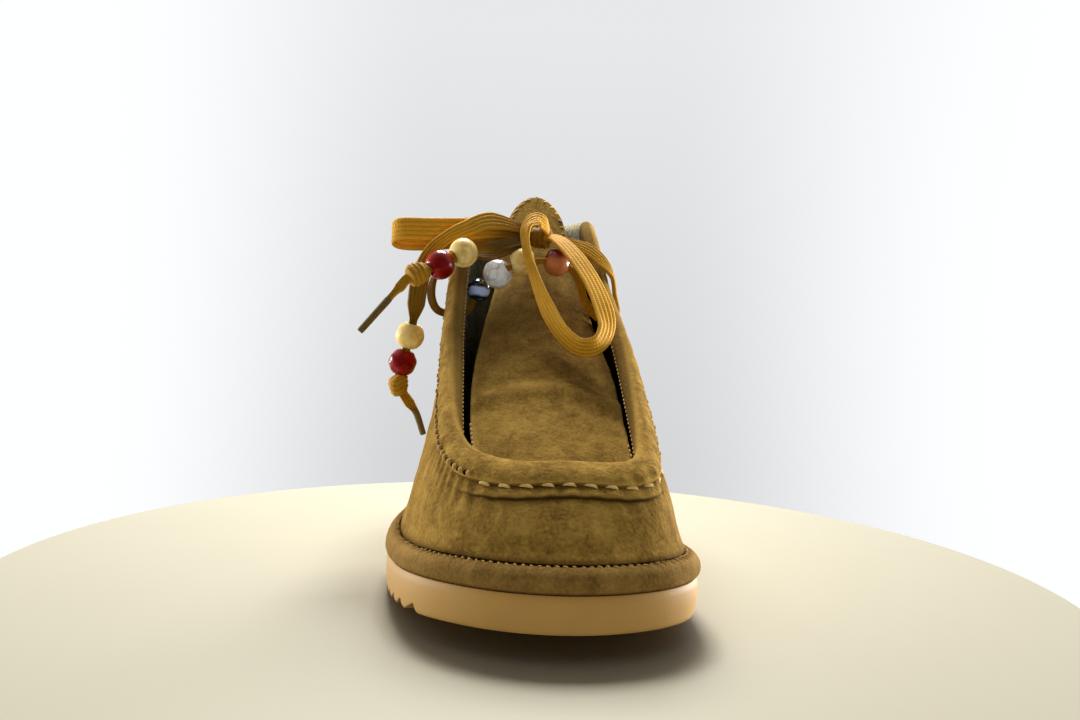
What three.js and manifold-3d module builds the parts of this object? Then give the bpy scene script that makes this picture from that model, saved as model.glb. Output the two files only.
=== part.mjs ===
// A right-foot suede moccasin ankle shoe, laced once across the tongue with a flat beaded lace tied in a bow.
// Millimetres, +Z up, floor at z = 0, toe towards -Y, inner side of the foot towards +X.
// Along the shoe, s is the distance behind the toe tip.

import * as THREE from "three";
import { mergeVertices } from "three/addons/utils/BufferGeometryUtils.js";
import Module from "manifold-3d";

const wasm = await Module();
wasm.setup();

// Driving sizes
const LENGTH = 265;
const GAP = 0.3;
const AROUND = 64;

// Sole: foam thickness, toe spring, arch and heel lift
const TOE_FOAM = 11;
const HEEL_FOAM = 21;
const FOAM_RISE_FROM = 0;
const FOAM_RISE_TO = 230;
const TOE_SPRING = 8.4;
const SPRING_RUN = 92;
const ARCH_RISE = 2.5;
const ARCH_FROM = 112;
const ARCH_TO = 172;
const HEEL_LIFT = 3;
const HEEL_LIFT_FROM = 228;
const SOLE_ROWS = 44;
const SOLE_END = 0.005;

// Saw-tooth tread: V grooves across the sole with flat lands between them
const TREAD_FROM = 29;
const TREAD_TO = 250;
const TREAD_PITCH = 10;
const GROOVE_WIDE = 5;
const GROOVE_DEEP = 3;

// Rand and insole
const RAND_HIGH = 7.8;
const RAND_IN = 5;
const RAND_INNER = 12;
const INSOLE_HIGH = 7.2;
const INSOLE_GAP = 0.5;

// Upper wall, its folded cuff and the raised seam at the toe; drops are measured down the wall from the ridge
const WALL = 2.4;
const WALL_TOP_DROP = 3;
const CUFF_GAP = 0.45;
const CUFF_THICK = 1.9;
const CUFF_PUFF = 0.7;
const CUFF_DROP = 12;
const CUFF_INNER_DROP = 9;
const SEAM_HIGH = 1.7;
const SEAM_FADE_FROM = 0.9;
const SEAM_FADE_TO = 1.9;

// Lace hole on each side, where the lace passes through the wall
const OUTER_HOLE = [-35, -6, 103.5];
const INNER_HOLE = [36.3, -6, 104.5];
const HOLE_RADIUS = 3.4;
const HOLE_CUT = 12;

// Tongue
const TONGUE_THICK = 3;
const TONGUE_ACROSS = 8;
const TONGUE_STOPS = [0, 0.1, 0.2, 0.3, 0.4, 0.5, 0.6, 0.7, 0.78, 0.86, 0.91, 0.95, 0.98, 0.994];
const TONGUE_TIP_FROM = 0.86;
const TONGUE_TIP_POWER = 2.6;

// Lace and beads
const LACE_SPAN_STEPS = 2;
const LACE_ROUNDING = 0.6;
const BEAD_RADIUS = 6;
const BEAD_BORE = 2.9;
const BEAD_BANDS = 6;
const BEAD_SIDES = 12;
const KNOT_SIDES = 10;
const KNOT_BANDS = 7;

// Small steps for slopes and for walking down the wall
const SLOPE_STEP = 1e-3;
const WALK_STEP = 1 / 80;

// Turns rows of numbers into records with the given column names.
function table(columns, rows) {
  const names = columns.split(" ");
  return rows.map((row) => Object.fromEntries(names.map((name, i) => [name, row[i]])));
}

// Stations around the shoe, from the toe round the outer side to the heel and back along the inner side:
// the sole's outline, the ridge of the cuff above it, and how far the wall swells between the two.
const STATIONS = table("station baseX baseS topX topS topZ belly", [
  ["toe tip", 7, 0, 6, 32, 52.6, 0.55],
  ["toe front, outer", -23, 8, -16, 34, 53.2, 0.55],
  ["toe side, outer", -44, 33, -27.5, 50, 62, 0.4],
  ["ball, outer", -53, 84, -31.2, 92, 91, 0.02],
  ["waist front, outer", -47, 130, -31, 125, 121, 0.12],
  ["waist back, outer", -42, 174, -28, 156, 150, 0.65],
  ["heel side, outer", -39, 216, -32, 198, 152, 0.4],
  ["heel corner, outer", -27, 252, -22, 236, 157, 0.45],
  ["heel back", 1, 265, 1, 251, 161, 0.5],
  ["heel corner, inner", 29, 252, 24, 236, 160, 0.45],
  ["heel side, inner", 39, 216, 34, 198, 157, 0.4],
  ["waist back, inner", 40, 174, 30, 156, 150, 0.65],
  ["waist front, inner", 44, 130, 32, 125, 121, 0.5],
  ["ball, inner", 53, 82, 35.3, 92, 91, 0.42],
  ["toe side, inner", 50.5, 33, 31.8, 50, 62, 0.5],
  ["toe front, inner", 36, 9, 26, 34, 53.2, 0.6],
]);

// Tongue sections from its root under the toe seam to its tip: middle line, half width and drop of the edges.
const TONGUE = table("s z middleX half drop", [
  [20, 41.2, 6, 21, 2.5],
  [42, 51.5, 4.5, 26, 3],
  [66, 66, 4.2, 28.2, 5],
  [92, 84, 4.6, 28, 7],
  [116, 105, 4.5, 23.5, 8],
  [138, 127, 5.5, 18.5, 7],
  [156, 149, 5, 14.5, 5.5],
  [168, 164, 5, 12, 4],
]);

// Side of the foam: distance in from the sole's outline and share of the foam's height.
const FOAM_SIDE = table("inset share", [
  [0.8, 1],
  [0, 0.6],
  [1, 0],
]);

// Section of the rand: distance in from the sole's outline and height above the foam.
const RAND_SECTION = table("inset high", [
  [0.4, GAP],
  [-0.6, 3.4],
  [0.4, 5.8],
  [2.2, 7.1],
  [4.6, RAND_HIGH - GAP],
  [RAND_INNER, RAND_HIGH - GAP],
  [RAND_INNER, GAP],
]);

// Shares of the wall's height below the seam where its sections have a point.
const WALL_SHARES = [0.2, 0.42, 0.64, 0.84];

// Raised moccasin seam on the wall's outside: drop below the ridge and share of the seam's height.
const SEAM = table("drop share", [
  [17, 0],
  [16.2, 1],
  [14.6, 0.9],
  [12.8, 0.1],
  [10, 0],
  [6.5, 0],
  [WALL_TOP_DROP, 0],
]);

// Section of the folded cuff: drop below the ridge and distance out from the wall's outside.
const CUFF_INSIDE = -WALL - CUFF_GAP;
const CUFF_SECTION = table("drop out", [
  [CUFF_DROP, CUFF_GAP],
  [10, CUFF_GAP],
  [6.5, CUFF_GAP],
  [WALL_TOP_DROP - CUFF_GAP, CUFF_GAP],
  [WALL_TOP_DROP - CUFF_GAP, CUFF_INSIDE],
  [CUFF_INNER_DROP, CUFF_INSIDE],
  [CUFF_INNER_DROP, CUFF_INSIDE - CUFF_THICK],
  [2.6, CUFF_INSIDE - CUFF_THICK],
  [0.4, CUFF_INSIDE + 0.4],
  [0.4, -0.2],
  [2.6, CUFF_GAP + CUFF_THICK],
  [7, CUFF_GAP + CUFF_THICK + CUFF_PUFF],
  [CUFF_DROP, CUFF_GAP + CUFF_THICK],
]);

// Lace routes: a point of the middle line, width and thickness there, and the way the flat side looks.
const LACE = "x y z wide thick face";
const CROSSING = table(LACE, [
  [-3.2, 0.8, 135.4, 3.6, 2.2, [0, -0.8, 0.6]],
  [-15, 0.5, 131, 6, 2, [0, -0.8, 0.6]],
  [-26, -2.5, 130, 9, 2, [-0.1, -0.5, 0.9]],
  [-34, -5, 128, 8, 2, [-0.5, -0.3, 0.9]],
  [-40, -7.5, 121, 6, 2.2, [-1, -0.2, 0.3]],
  [-42, -9, 112, 4.5, 2.4, [-1, -0.2, 0]],
  [-39.8, -8, 105.5, 3.6, 2.6, [-0.9, -0.2, -0.4]],
  [...OUTER_HOLE, 3.2, 2.6, [0, -0.4, -0.9]],
  [-29, -5, 103.5, 3.2, 2.6, [0.2, -0.6, -0.8]],
  [-25.4, 0.8, 107, 2.8, 2.4, [0.3, -0.7, -0.6]],
  [-21.8, 1.4, 114.9, 2.8, 2.4, [0.2, -0.8, -0.5]],
  [-14, -5.4, 121.6, 2.8, 2.4, [0.2, -0.8, -0.5]],
  [-3.2, -7.5, 127, 2.8, 2.4, [0, -0.9, -0.4]],
  [11.5, -7.5, 127.5, 2.8, 2.4, [0, -0.9, -0.4]],
  [20.5, -6.5, 122.5, 3.6, 2.4, [-0.2, -0.9, -0.3]],
  [24.5, -5.5, 112, 3.6, 2.6, [-0.3, -0.8, -0.4]],
  [30, -5.5, 105, 3.2, 2.6, [-0.2, -0.6, -0.8]],
  [...INNER_HOLE, 3.2, 2.6, [0, -0.4, -0.9]],
  [39.2, -5.6, 107, 3.8, 2.4, [0.9, -0.2, -0.3]],
  [38, -4.8, 114.5, 5, 2, [1, -0.2, 0.1]],
  [36.9, -3.2, 122.5, 7, 2, [0.95, -0.3, 0.2]],
  [32.2, -1.8, 129.6, 8, 2, [0.35, -0.75, 0.6]],
  [24.5, -0.3, 135.4, 8, 2, [0.1, -0.8, 0.6]],
  [12.2, 2.5, 140.3, 3.6, 2.2, [0, -0.6, 0.8]],
]);
const LOOP_OUTER = table(LACE, [
  [-3.2, 2.8, 140.6, 3.6, 2.2, [0, -1, 0.2]],
  [-13, -1.5, 141.5, 7.5, 2, [0.2, -1, 0.1]],
  [-26, -5.5, 140.5, 9.5, 2, [0.2, -1, 0]],
  [-43, -8, 139.2, 9.5, 2, [0.1, -1, 0]],
  [-55, -8.5, 138.6, 9.5, 2, [0, -1, 0]],
  [-59, -4.5, 137, 9.5, 2, [-1, 0, 0]],
  [-55, -0.5, 135.4, 9.5, 2, [0, 1, 0]],
  [-42, 0.5, 136, 9.5, 2, [0, 1, 0]],
  [-28, 2, 138, 9, 2, [-0.1, 1, 0]],
  [-14, 5.5, 139, 7, 2, [-0.2, 1, 0]],
  [-2.4, 6.6, 138.4, 3.6, 2.2, [-0.2, 1, 0]],
]);
const LOOP_INNER = table(LACE, [
  [6.2, -3.4, 142.7, 3.6, 2.2, [0.2, -0.5, 0.8]],
  [3, -9, 146.5, 7.5, 2, [-0.2, -0.6, 0.8]],
  [-2.2, -12, 143, 7, 2, [-0.8, -0.6, 0.3]],
  [-3.2, -15, 135.5, 6.5, 2, [-0.85, -0.5, 0]],
  [-1.6, -20, 126.5, 6.5, 2, [-0.85, -0.5, 0]],
  [1.8, -25.5, 115.5, 7.5, 2, [-0.8, -0.6, -0.1]],
  [6, -31.5, 105, 8.5, 2, [-0.6, -0.7, -0.3]],
  [11.2, -37.5, 96, 9, 2, [-0.4, -0.7, -0.6]],
  [17.8, -41.5, 90.8, 9.5, 2, [-0.1, -0.7, -0.7]],
  [24.8, -42, 92, 10, 2, [0.2, -0.7, -0.6]],
  [28.6, -39, 98.8, 10, 2, [0.5, -0.8, -0.2]],
  [27.6, -34, 107.8, 10, 2, [0.4, -0.9, 0.2]],
  [24, -26, 118.5, 10, 2, [0.4, -0.8, 0.4]],
  [18, -17, 129.5, 9, 2, [0.3, -0.8, 0.5]],
  [9.4, -4.3, 139.5, 3.6, 2.2, [0.2, -0.8, 0.5]],
]);
const END_HANGING = table(LACE, [
  [-0.2, -1.2, 143.4, 3.6, 2.2, [0, -0.8, 0.6]],
  [-16.5, -9, 143.8, 9.5, 2, [0, -0.9, 0.4]],
  [-28, -13.5, 139.3, 7.5, 2, [-0.1, -1, 0.3]],
  [-36.5, -14, 134.6, 6, 2, [-0.2, -1, 0.2]],
  [-43, -14.5, 127.8, 6.5, 2, [-0.3, -1, 0]],
  [-46.5, -15, 117.5, 8, 2, [-0.2, -1, 0]],
  [-47.9, -13.5, 106.5, 7.5, 2, [-0.1, -1, 0]],
  [-48.8, -12.5, 100, 3.4, 2.8, [0, -1, 0]],
  [-50, -11.5, 93.3, 3.4, 2.8, [0, -1, 0]],
  [-52.8, -10, 82, 3.4, 2.8, [0, -1, 0]],
  [-54.1, -9.5, 76.9, 3.4, 2.8, [0, -1, 0]],
]);
const TIP_HANGING = table(LACE, [
  [-52.2, -7.4, 68.6, 4, 2.6, [0, -1, 0]],
  [-49.6, -5, 64.6, 4.5, 2.2, [0, -1, 0]],
  [-46.6, -2.5, 60, 2.4, 2.4, [0, -1, 0]],
  [-43.6, -1.5, 51.5, 2.2, 2.2, [0, -1, 0]],
]);
const END_UPPER = table(LACE, [
  [-0.8, -2.1, 138.5, 3.6, 2.2, [0, -0.9, 0.4]],
  [-15, -11.5, 133, 5, 2.2, [0, -0.9, 0.4]],
  [-22.5, -16, 130.5, 3.4, 2.8, [0, -0.9, 0.4]],
  [-29, -19.5, 128.2, 3.4, 2.8, [0, -0.9, 0.4]],
  [-38.2, -24, 122.2, 3.4, 2.8, [0, -0.9, 0.4]],
  [-43.4, -26, 119.8, 3.4, 2.8, [0, -0.9, 0.4]],
]);
const TIP_UPPER = table(LACE, [
  [-50.8, -28.3, 115.6, 4, 2.6, [0, -0.9, 0.4]],
  [-53.6, -29, 112, 4.5, 2.2, [0, -0.9, 0.4]],
  [-56.4, -30, 108.6, 2.4, 2.4, [0, -0.9, 0.4]],
  [-68, -32, 94, 2.2, 2.2, [0, -0.9, 0.4]],
]);

// Beads threaded on the lace: the route and the row of it where the bead sits.
const BEADS = table("name route row radius color roughness", [
  ["bead_blue", CROSSING, 10, 5, 0x3a4550, 0.1],
  ["bead_clear", CROSSING, 11, 6.4, 0xb9bcb8, 0.1],
  ["bead_cream", CROSSING, 12, BEAD_RADIUS, 0xd8c48a, 0.5],
  ["bead_amber", CROSSING, 13, BEAD_RADIUS, 0x8c5a34, 0.2],
  ["bead_hanging_cream", END_HANGING, 8, BEAD_RADIUS, 0xd8c48a, 0.5],
  ["bead_hanging_red", END_HANGING, 9, BEAD_RADIUS, 0x8c1410, 0.25],
  ["bead_upper_cream", END_UPPER, 3, BEAD_RADIUS, 0xd8c48a, 0.5],
  ["bead_upper_red", END_UPPER, 4, BEAD_RADIUS, 0x7c1c22, 0.1],
]);

// Round knots: middle and half sizes.
const KNOTS = table("name x y z halfX halfY halfZ", [
  ["lace_knot", 4.5, 2, 139.5, 7, 5, 4.5],
  ["stopper_hanging", -54.3, -9, 72.4, 4.6, 4.2, 4.2],
  ["stopper_upper", -46.8, -27.4, 117.8, 4.2, 4, 4.2],
]);

const { lerp, smoothstep, clamp } = THREE.MathUtils;

function place(x, s, z) {
  return new THREE.Vector3(x, s - LENGTH / 2, z);
}

// Heights at s: lift of the toe spring, the sole's underside and the foam's top.
function toeSpring(s) {
  return TOE_SPRING * (0.5 + 0.5 * Math.cos(Math.PI * clamp(s / SPRING_RUN, 0, 1)));
}

function underside(s) {
  const heel = clamp((s - HEEL_LIFT_FROM) / (LENGTH - HEEL_LIFT_FROM), 0, 1);
  const arch = clamp((s - ARCH_FROM) / (ARCH_TO - ARCH_FROM), 0, 1);
  return toeSpring(s) + HEEL_LIFT * heel ** 2 + ARCH_RISE * Math.sin(arch * Math.PI) ** 2;
}

function foamTop(s) {
  const rise = smoothstep(s, FOAM_RISE_FROM, FOAM_RISE_TO);
  return toeSpring(s) + lerp(TOE_FOAM, HEEL_FOAM, rise);
}

// Closed curves through the stations: the sole's outline with the wall's swell, and the cuff's ridge.
function stationCurve(pick) {
  return new THREE.CatmullRomCurve3(STATIONS.map(pick), true, "catmullrom", 0.5);
}
const baseCurve = stationCurve((row) => new THREE.Vector3(row.baseX, row.baseS, row.belly));
const ridgeCurve = stationCurve((row) => new THREE.Vector3(row.topX, row.topS, row.topZ));

function wrap(t) {
  return t - Math.floor(t);
}

// Point of the sole's outline at t, from 0 to 1 around the shoe, moved inwards, as (x, s).
function outline(t, inset) {
  const at = baseCurve.getPoint(wrap(t));
  const ahead = baseCurve.getPoint(wrap(t + SLOPE_STEP)).sub(baseCurve.getPoint(wrap(t - SLOPE_STEP)));
  const inward = new THREE.Vector2(ahead.y, -ahead.x).normalize();
  return new THREE.Vector2(at.x, at.y).addScaledVector(inward, inset);
}

// Point on the edge of the sole, inset from its outline, at a height above the foam's top.
function onFoam(t, inset, high) {
  const at = outline(t, inset);
  return place(at.x, at.y, foamTop(at.y) + high);
}

// Outside of the upper: v runs from 0 at the rand to 1 at the cuff's ridge.
function wallPoint(t, v) {
  const foot = onFoam(t, RAND_IN, RAND_HIGH);
  const ridge = ridgeCurve.getPoint(wrap(t));
  const top = place(ridge.x, ridge.y, ridge.z);
  const belly = baseCurve.getPoint(wrap(t)).z;
  const quarter = (v * Math.PI) / 2;
  const inwards = lerp(v, 1 - Math.cos(quarter), belly);
  const upwards = lerp(v, Math.sin(quarter), belly);
  return new THREE.Vector3(
    lerp(foot.x, top.x, inwards),
    lerp(foot.y, top.y, inwards),
    lerp(foot.z, top.z, upwards),
  );
}

function offWall(t, v, out) {
  const high = Math.min(v + SLOPE_STEP, 1);
  const rise = wallPoint(t, high).sub(wallPoint(t, high - 2 * SLOPE_STEP));
  const along = wallPoint(t + SLOPE_STEP, v).sub(wallPoint(t - SLOPE_STEP, v));
  const outward = rise.cross(along).normalize();
  return wallPoint(t, v).addScaledVector(outward, out);
}

// The v that lies the given distance down the wall from the ridge.
function vBelowRidge(t, drop) {
  const steps = Math.round(1 / WALK_STEP);
  let above = wallPoint(t, 1);
  let walked = 0;
  for (let i = 1; i <= steps; i++) {
    const v = 1 - i * WALK_STEP;
    const here = wallPoint(t, v);
    const stride = here.distanceTo(above);
    if (walked + stride >= drop) {
      return v + ((walked + stride - drop) / stride) * WALK_STEP;
    }
    walked += stride;
    above = here;
  }
  return 0;
}

// Share of the raised seam at t: whole across the toe, gone behind the ball.
function seamShare(t) {
  const stationsAway = Math.min(t, 1 - t) * STATIONS.length;
  return 1 - smoothstep(stationsAway, SEAM_FADE_FROM, SEAM_FADE_TO);
}

// Closed skin over a row of rings with equal counts of points. A ring's first half pairs with its second
// half read backwards, so the two end rings can be capped by strips.
function skin(rings, loops) {
  const count = rings[0].length;
  const position = rings.flat().flatMap((point) => point.toArray());
  const index = [];
  const spans = loops ? rings.length : rings.length - 1;
  for (let i = 0; i < spans; i++) {
    const here = i * count;
    const next = ((i + 1) % rings.length) * count;
    for (let j = 0; j < count; j++) {
      const k = (j + 1) % count;
      index.push(here + j, here + k, next + k, here + j, next + k, next + j);
    }
  }
  if (!loops) {
    const last = (rings.length - 1) * count;
    for (let j = 0; j < count / 2 - 1; j++) {
      const [a, b, c, d] = [j, j + 1, count - 2 - j, count - 1 - j];
      index.push(a, c, b, a, d, c);
      index.push(last + a, last + b, last + c, last + a, last + c, last + d);
    }
  }
  const geometry = new THREE.BufferGeometry();
  geometry.setAttribute("position", new THREE.Float32BufferAttribute(position, 3));
  geometry.setIndex(index);
  return solidOf(geometry).volume() < 0 ? turned(geometry) : geometry;
}

// The same skin with every face turned round.
function turned(geometry) {
  const index = geometry.index.array;
  for (let i = 0; i < index.length; i += 3) {
    [index[i + 1], index[i + 2]] = [index[i + 2], index[i + 1]];
  }
  return geometry;
}

function solidOf(geometry) {
  const bare = geometry.clone();
  bare.deleteAttribute("normal");
  bare.deleteAttribute("uv");
  const merged = mergeVertices(bare, 1e-3);
  return new wasm.Manifold(
    new wasm.Mesh({
      numProp: 3,
      vertProperties: merged.attributes.position.array,
      triVerts: new Uint32Array(merged.index.array),
    }),
  );
}

function geometryOf(solid) {
  const mesh = solid.getMesh();
  const geometry = new THREE.BufferGeometry();
  geometry.setAttribute("position", new THREE.BufferAttribute(mesh.vertProperties, 3));
  geometry.setIndex(new THREE.BufferAttribute(mesh.triVerts, 1));
  return geometry;
}

// Rings around the whole shoe, one section at each of AROUND places.
function ringsAround(section) {
  return Array.from({ length: AROUND }, (_, i) => section(i / AROUND));
}

// Sections across the sole from the toe to the heel, each given by its outer and inner edge.
function rowsAlong(section) {
  return Array.from({ length: SOLE_ROWS }, (_, i) => {
    const t = lerp(SOLE_END, 0.5 - SOLE_END, i / (SOLE_ROWS - 1));
    return section(t, 1 - t);
  });
}

function foamEdge(t, inset, share) {
  const at = outline(t, inset);
  return place(at.x, at.y, lerp(underside(at.y), foamTop(at.y), share));
}

// Groove across the sole's underside at s.
function groove(s) {
  const [left, right] = [-LENGTH / 3, LENGTH / 3];
  const below = 1;
  const half = ((GROOVE_WIDE / 2) * (GROOVE_DEEP + below)) / GROOVE_DEEP;
  const profile = [
    [s - half, -below],
    [s, GROOVE_DEEP],
    [s + half, -below],
    [s, -2 * below],
  ];
  const end = (x) => profile.map(([at, rise]) => place(x, at, underside(at) + rise));
  return solidOf(skin([end(left), end(right)], false));
}

function outsoleGeometry() {
  const side = (t) => FOAM_SIDE.map((row) => foamEdge(t, row.inset, row.share));
  const slab = skin(rowsAlong((outer, inner) => [...side(outer), ...side(inner).reverse()]), false);
  let sole = solidOf(slab);
  for (let s = TREAD_FROM; s <= TREAD_TO; s += TREAD_PITCH) {
    sole = sole.subtract(groove(s));
  }
  return geometryOf(sole);
}

function insoleGeometry() {
  const inset = RAND_INNER + INSOLE_GAP;
  const edge = (t) => [onFoam(t, inset, INSOLE_HIGH), onFoam(t, inset, GAP)];
  return skin(rowsAlong((outer, inner) => [...edge(outer), ...edge(inner).reverse()]), false);
}

function randGeometry() {
  return skin(ringsAround((t) => RAND_SECTION.map((row) => onFoam(t, row.inset, row.high))), true);
}

function upperSection(t) {
  const seam = SEAM_HIGH * seamShare(t);
  const seamFoot = vBelowRidge(t, SEAM[0].drop);
  const outside = [
    wallPoint(t, 0),
    ...WALL_SHARES.map((share) => wallPoint(t, share * seamFoot)),
    ...SEAM.map((row) => offWall(t, vBelowRidge(t, row.drop), seam * row.share)),
  ];
  const inside = [
    offWall(t, vBelowRidge(t, WALL_TOP_DROP), -WALL),
    offWall(t, vBelowRidge(t, CUFF_INNER_DROP), -WALL),
    ...WALL_SHARES.toReversed().map((share) => offWall(t, share * seamFoot, -WALL)),
    onFoam(t, RAND_IN + WALL, RAND_HIGH),
  ];
  return [...outside, ...inside];
}

function upperGeometry() {
  let upper = solidOf(skin(ringsAround(upperSection), true));
  for (const hole of [OUTER_HOLE, INNER_HOLE]) {
    const cut = new THREE.CylinderGeometry(HOLE_RADIUS, HOLE_RADIUS, HOLE_CUT, BEAD_SIDES);
    cut.rotateZ(Math.PI / 2);
    cut.translate(...hole);
    upper = upper.subtract(solidOf(cut));
  }
  return geometryOf(upper);
}

function cuffGeometry() {
  const section = (t) => CUFF_SECTION.map((row) => offWall(t, vBelowRidge(t, row.drop), row.out));
  return skin(ringsAround(section), true);
}

// Tongue: a across from -1 to 1, b along from 0 at the root to 1 at the tip.
const tongueLine = new THREE.CatmullRomCurve3(
  TONGUE.map((row) => new THREE.Vector3(row.middleX, row.s, row.z)),
  false,
  "catmullrom",
  0.5,
);
const tongueForm = new THREE.CatmullRomCurve3(
  TONGUE.map((row) => new THREE.Vector3(row.half, row.drop, 0)),
  false,
  "catmullrom",
  0.5,
);

function tonguePoint(a, b, under) {
  const at = tongueLine.getPoint(b);
  const along = tongueLine.getTangent(b);
  const up = new THREE.Vector2(-along.z, along.y).normalize();
  const form = tongueForm.getPoint(b);
  const tip = clamp((b - TONGUE_TIP_FROM) / (1 - TONGUE_TIP_FROM), 0, 1);
  const narrow = Math.sqrt(1 - tip ** TONGUE_TIP_POWER);
  const sunk = form.y * (a * narrow) ** 2 + under;
  return place(at.x + a * form.x * narrow, at.y - up.x * sunk, at.z - up.y * sunk);
}

function tongueGeometry() {
  const across = Array.from({ length: TONGUE_ACROSS + 1 }, (_, i) => lerp(-1, 1, i / TONGUE_ACROSS));
  const rings = TONGUE_STOPS.map((b) => [
    ...across.map((a) => tonguePoint(a, b, 0)),
    ...across.toReversed().map((a) => tonguePoint(a, b, TONGUE_THICK)),
  ]);
  return skin(rings, false);
}

// Lace: a smooth curve through the rows, with width, thickness and face blended from row to row.
function routeCurve(rows) {
  return new THREE.CatmullRomCurve3(
    rows.map((row) => new THREE.Vector3(row.x, row.y, row.z)),
    false,
    "catmullrom",
    0.5,
  );
}

function laceGeometry(rows) {
  const curve = routeCurve(rows);
  const spans = rows.length - 1;
  const steps = spans * LACE_SPAN_STEPS;
  const rings = [];
  for (let i = 0; i <= steps; i++) {
    const row = Math.min(Math.floor(i / LACE_SPAN_STEPS), spans - 1);
    const share = i / LACE_SPAN_STEPS - row;
    const [from, to] = [rows[row], rows[row + 1]];
    const middle = curve.getPoint(i / steps);
    const along = curve.getTangent(i / steps);
    const face = new THREE.Vector3(...from.face).lerp(new THREE.Vector3(...to.face), share);
    const side = along.clone().cross(face).normalize();
    const out = side.clone().cross(along);
    const halfWide = lerp(from.wide, to.wide, share) / 2;
    const halfThick = lerp(from.thick, to.thick, share) / 2;
    const corner = halfWide - halfThick * LACE_ROUNDING;
    const section = [
      [halfWide, 0.4],
      [corner, 1],
      [-corner, 1],
      [-halfWide, 0.4],
      [-halfWide, -0.4],
      [-corner, -1],
      [corner, -1],
      [halfWide, -0.4],
    ];
    rings.push(
      section.map(([wide, thick]) =>
        middle.clone().addScaledVector(side, wide).addScaledVector(out, thick * halfThick),
      ),
    );
  }
  return skin(rings, false);
}

// Bead: a ball with a bore along the lace.
function beadGeometry(radius) {
  const flat = Math.acos(BEAD_BORE / radius);
  const profile = Array.from({ length: BEAD_BANDS + 1 }, (_, i) => {
    const angle = lerp(-flat, flat, i / BEAD_BANDS);
    return new THREE.Vector2(radius * Math.cos(angle), radius * Math.sin(angle));
  });
  return new THREE.LatheGeometry([...profile, profile[0].clone()], BEAD_SIDES);
}

const SUEDE = { color: 0x8a6a34, roughness: 0.95, metalness: 0 };
const LACE_COTTON = { color: 0x9c6f22, roughness: 0.85, metalness: 0 };
const FOAM = { color: 0xb08a50, roughness: 0.7, metalness: 0 };
const FLEECE = { color: 0xd7d3c0, roughness: 1, metalness: 0 };

const shoe = new THREE.Group();

function addPiece(name, geometry, look) {
  const mesh = new THREE.Mesh(geometry, new THREE.MeshStandardMaterial(look));
  mesh.name = name;
  shoe.add(mesh);
  return mesh;
}

addPiece("outsole", outsoleGeometry(), FOAM);
addPiece("rand", randGeometry(), SUEDE);
addPiece("insole", insoleGeometry(), FLEECE);
addPiece("upper", upperGeometry(), SUEDE);
addPiece("cuff", cuffGeometry(), SUEDE);
addPiece("tongue", tongueGeometry(), SUEDE);
addPiece("lace_crossing", laceGeometry(CROSSING), LACE_COTTON);
addPiece("lace_loop_outer", laceGeometry(LOOP_OUTER), LACE_COTTON);
addPiece("lace_loop_inner", laceGeometry(LOOP_INNER), LACE_COTTON);
addPiece("lace_end_hanging", laceGeometry(END_HANGING), LACE_COTTON);
addPiece("lace_end_upper", laceGeometry(END_UPPER), LACE_COTTON);
addPiece("lace_tip_hanging", laceGeometry(TIP_HANGING), LACE_COTTON);
addPiece("lace_tip_upper", laceGeometry(TIP_UPPER), LACE_COTTON);

for (const bead of BEADS) {
  const look = { color: bead.color, roughness: bead.roughness, metalness: 0 };
  const mesh = addPiece(bead.name, beadGeometry(bead.radius), look);
  const curve = routeCurve(bead.route);
  const at = bead.row / (bead.route.length - 1);
  mesh.position.copy(curve.getPoint(at));
  mesh.quaternion.setFromUnitVectors(new THREE.Vector3(0, 1, 0), curve.getTangent(at));
}

for (const knot of KNOTS) {
  const mesh = addPiece(knot.name, new THREE.SphereGeometry(1, KNOT_SIDES, KNOT_BANDS), LACE_COTTON);
  mesh.scale.set(knot.halfX, knot.halfY, knot.halfZ);
  mesh.position.set(knot.x, knot.y, knot.z);
}

export default shoe;
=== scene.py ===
"""A right-foot suede moccasin ankle shoe with a beaded lace, dressed over its CAD frame.

Lengths in the tables are millimetres in the frame of the part: +Z up, toe towards -Y, inner side of the
foot towards +X. Along the shoe, s is the distance behind the toe tip, and t runs round it from 0 at the
toe tip along the outer side to 0.5 at the heel and back along the inner side.
"""

import math

import bmesh
import bpy
import numpy as np
from mathutils import Matrix, Vector, noise


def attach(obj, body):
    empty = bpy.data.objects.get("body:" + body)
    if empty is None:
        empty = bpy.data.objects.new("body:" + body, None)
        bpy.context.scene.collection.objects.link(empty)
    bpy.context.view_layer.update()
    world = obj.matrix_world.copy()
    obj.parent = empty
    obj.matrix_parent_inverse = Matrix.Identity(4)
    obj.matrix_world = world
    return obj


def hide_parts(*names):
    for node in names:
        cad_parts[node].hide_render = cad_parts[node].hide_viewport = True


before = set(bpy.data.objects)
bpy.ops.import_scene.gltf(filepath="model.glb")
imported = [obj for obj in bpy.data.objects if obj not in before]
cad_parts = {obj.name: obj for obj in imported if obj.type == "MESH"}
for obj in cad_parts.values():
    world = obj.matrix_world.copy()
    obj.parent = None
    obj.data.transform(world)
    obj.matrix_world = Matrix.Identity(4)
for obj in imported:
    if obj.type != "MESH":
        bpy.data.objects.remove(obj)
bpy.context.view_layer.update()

bl_info = {
    "name": "Beaded suede moccasin",
    "version": (1, 0, 0),
    "blender": (4, 5, 0),
    "location": "View3D > Sidebar > Shoe",
    "description": "Dresses the lace-up shoe's frame in suede, fleece, foam, lace and beads",
    "category": "Object",
}

BODY = "root"
MM = 0.001
LENGTH = 265

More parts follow.
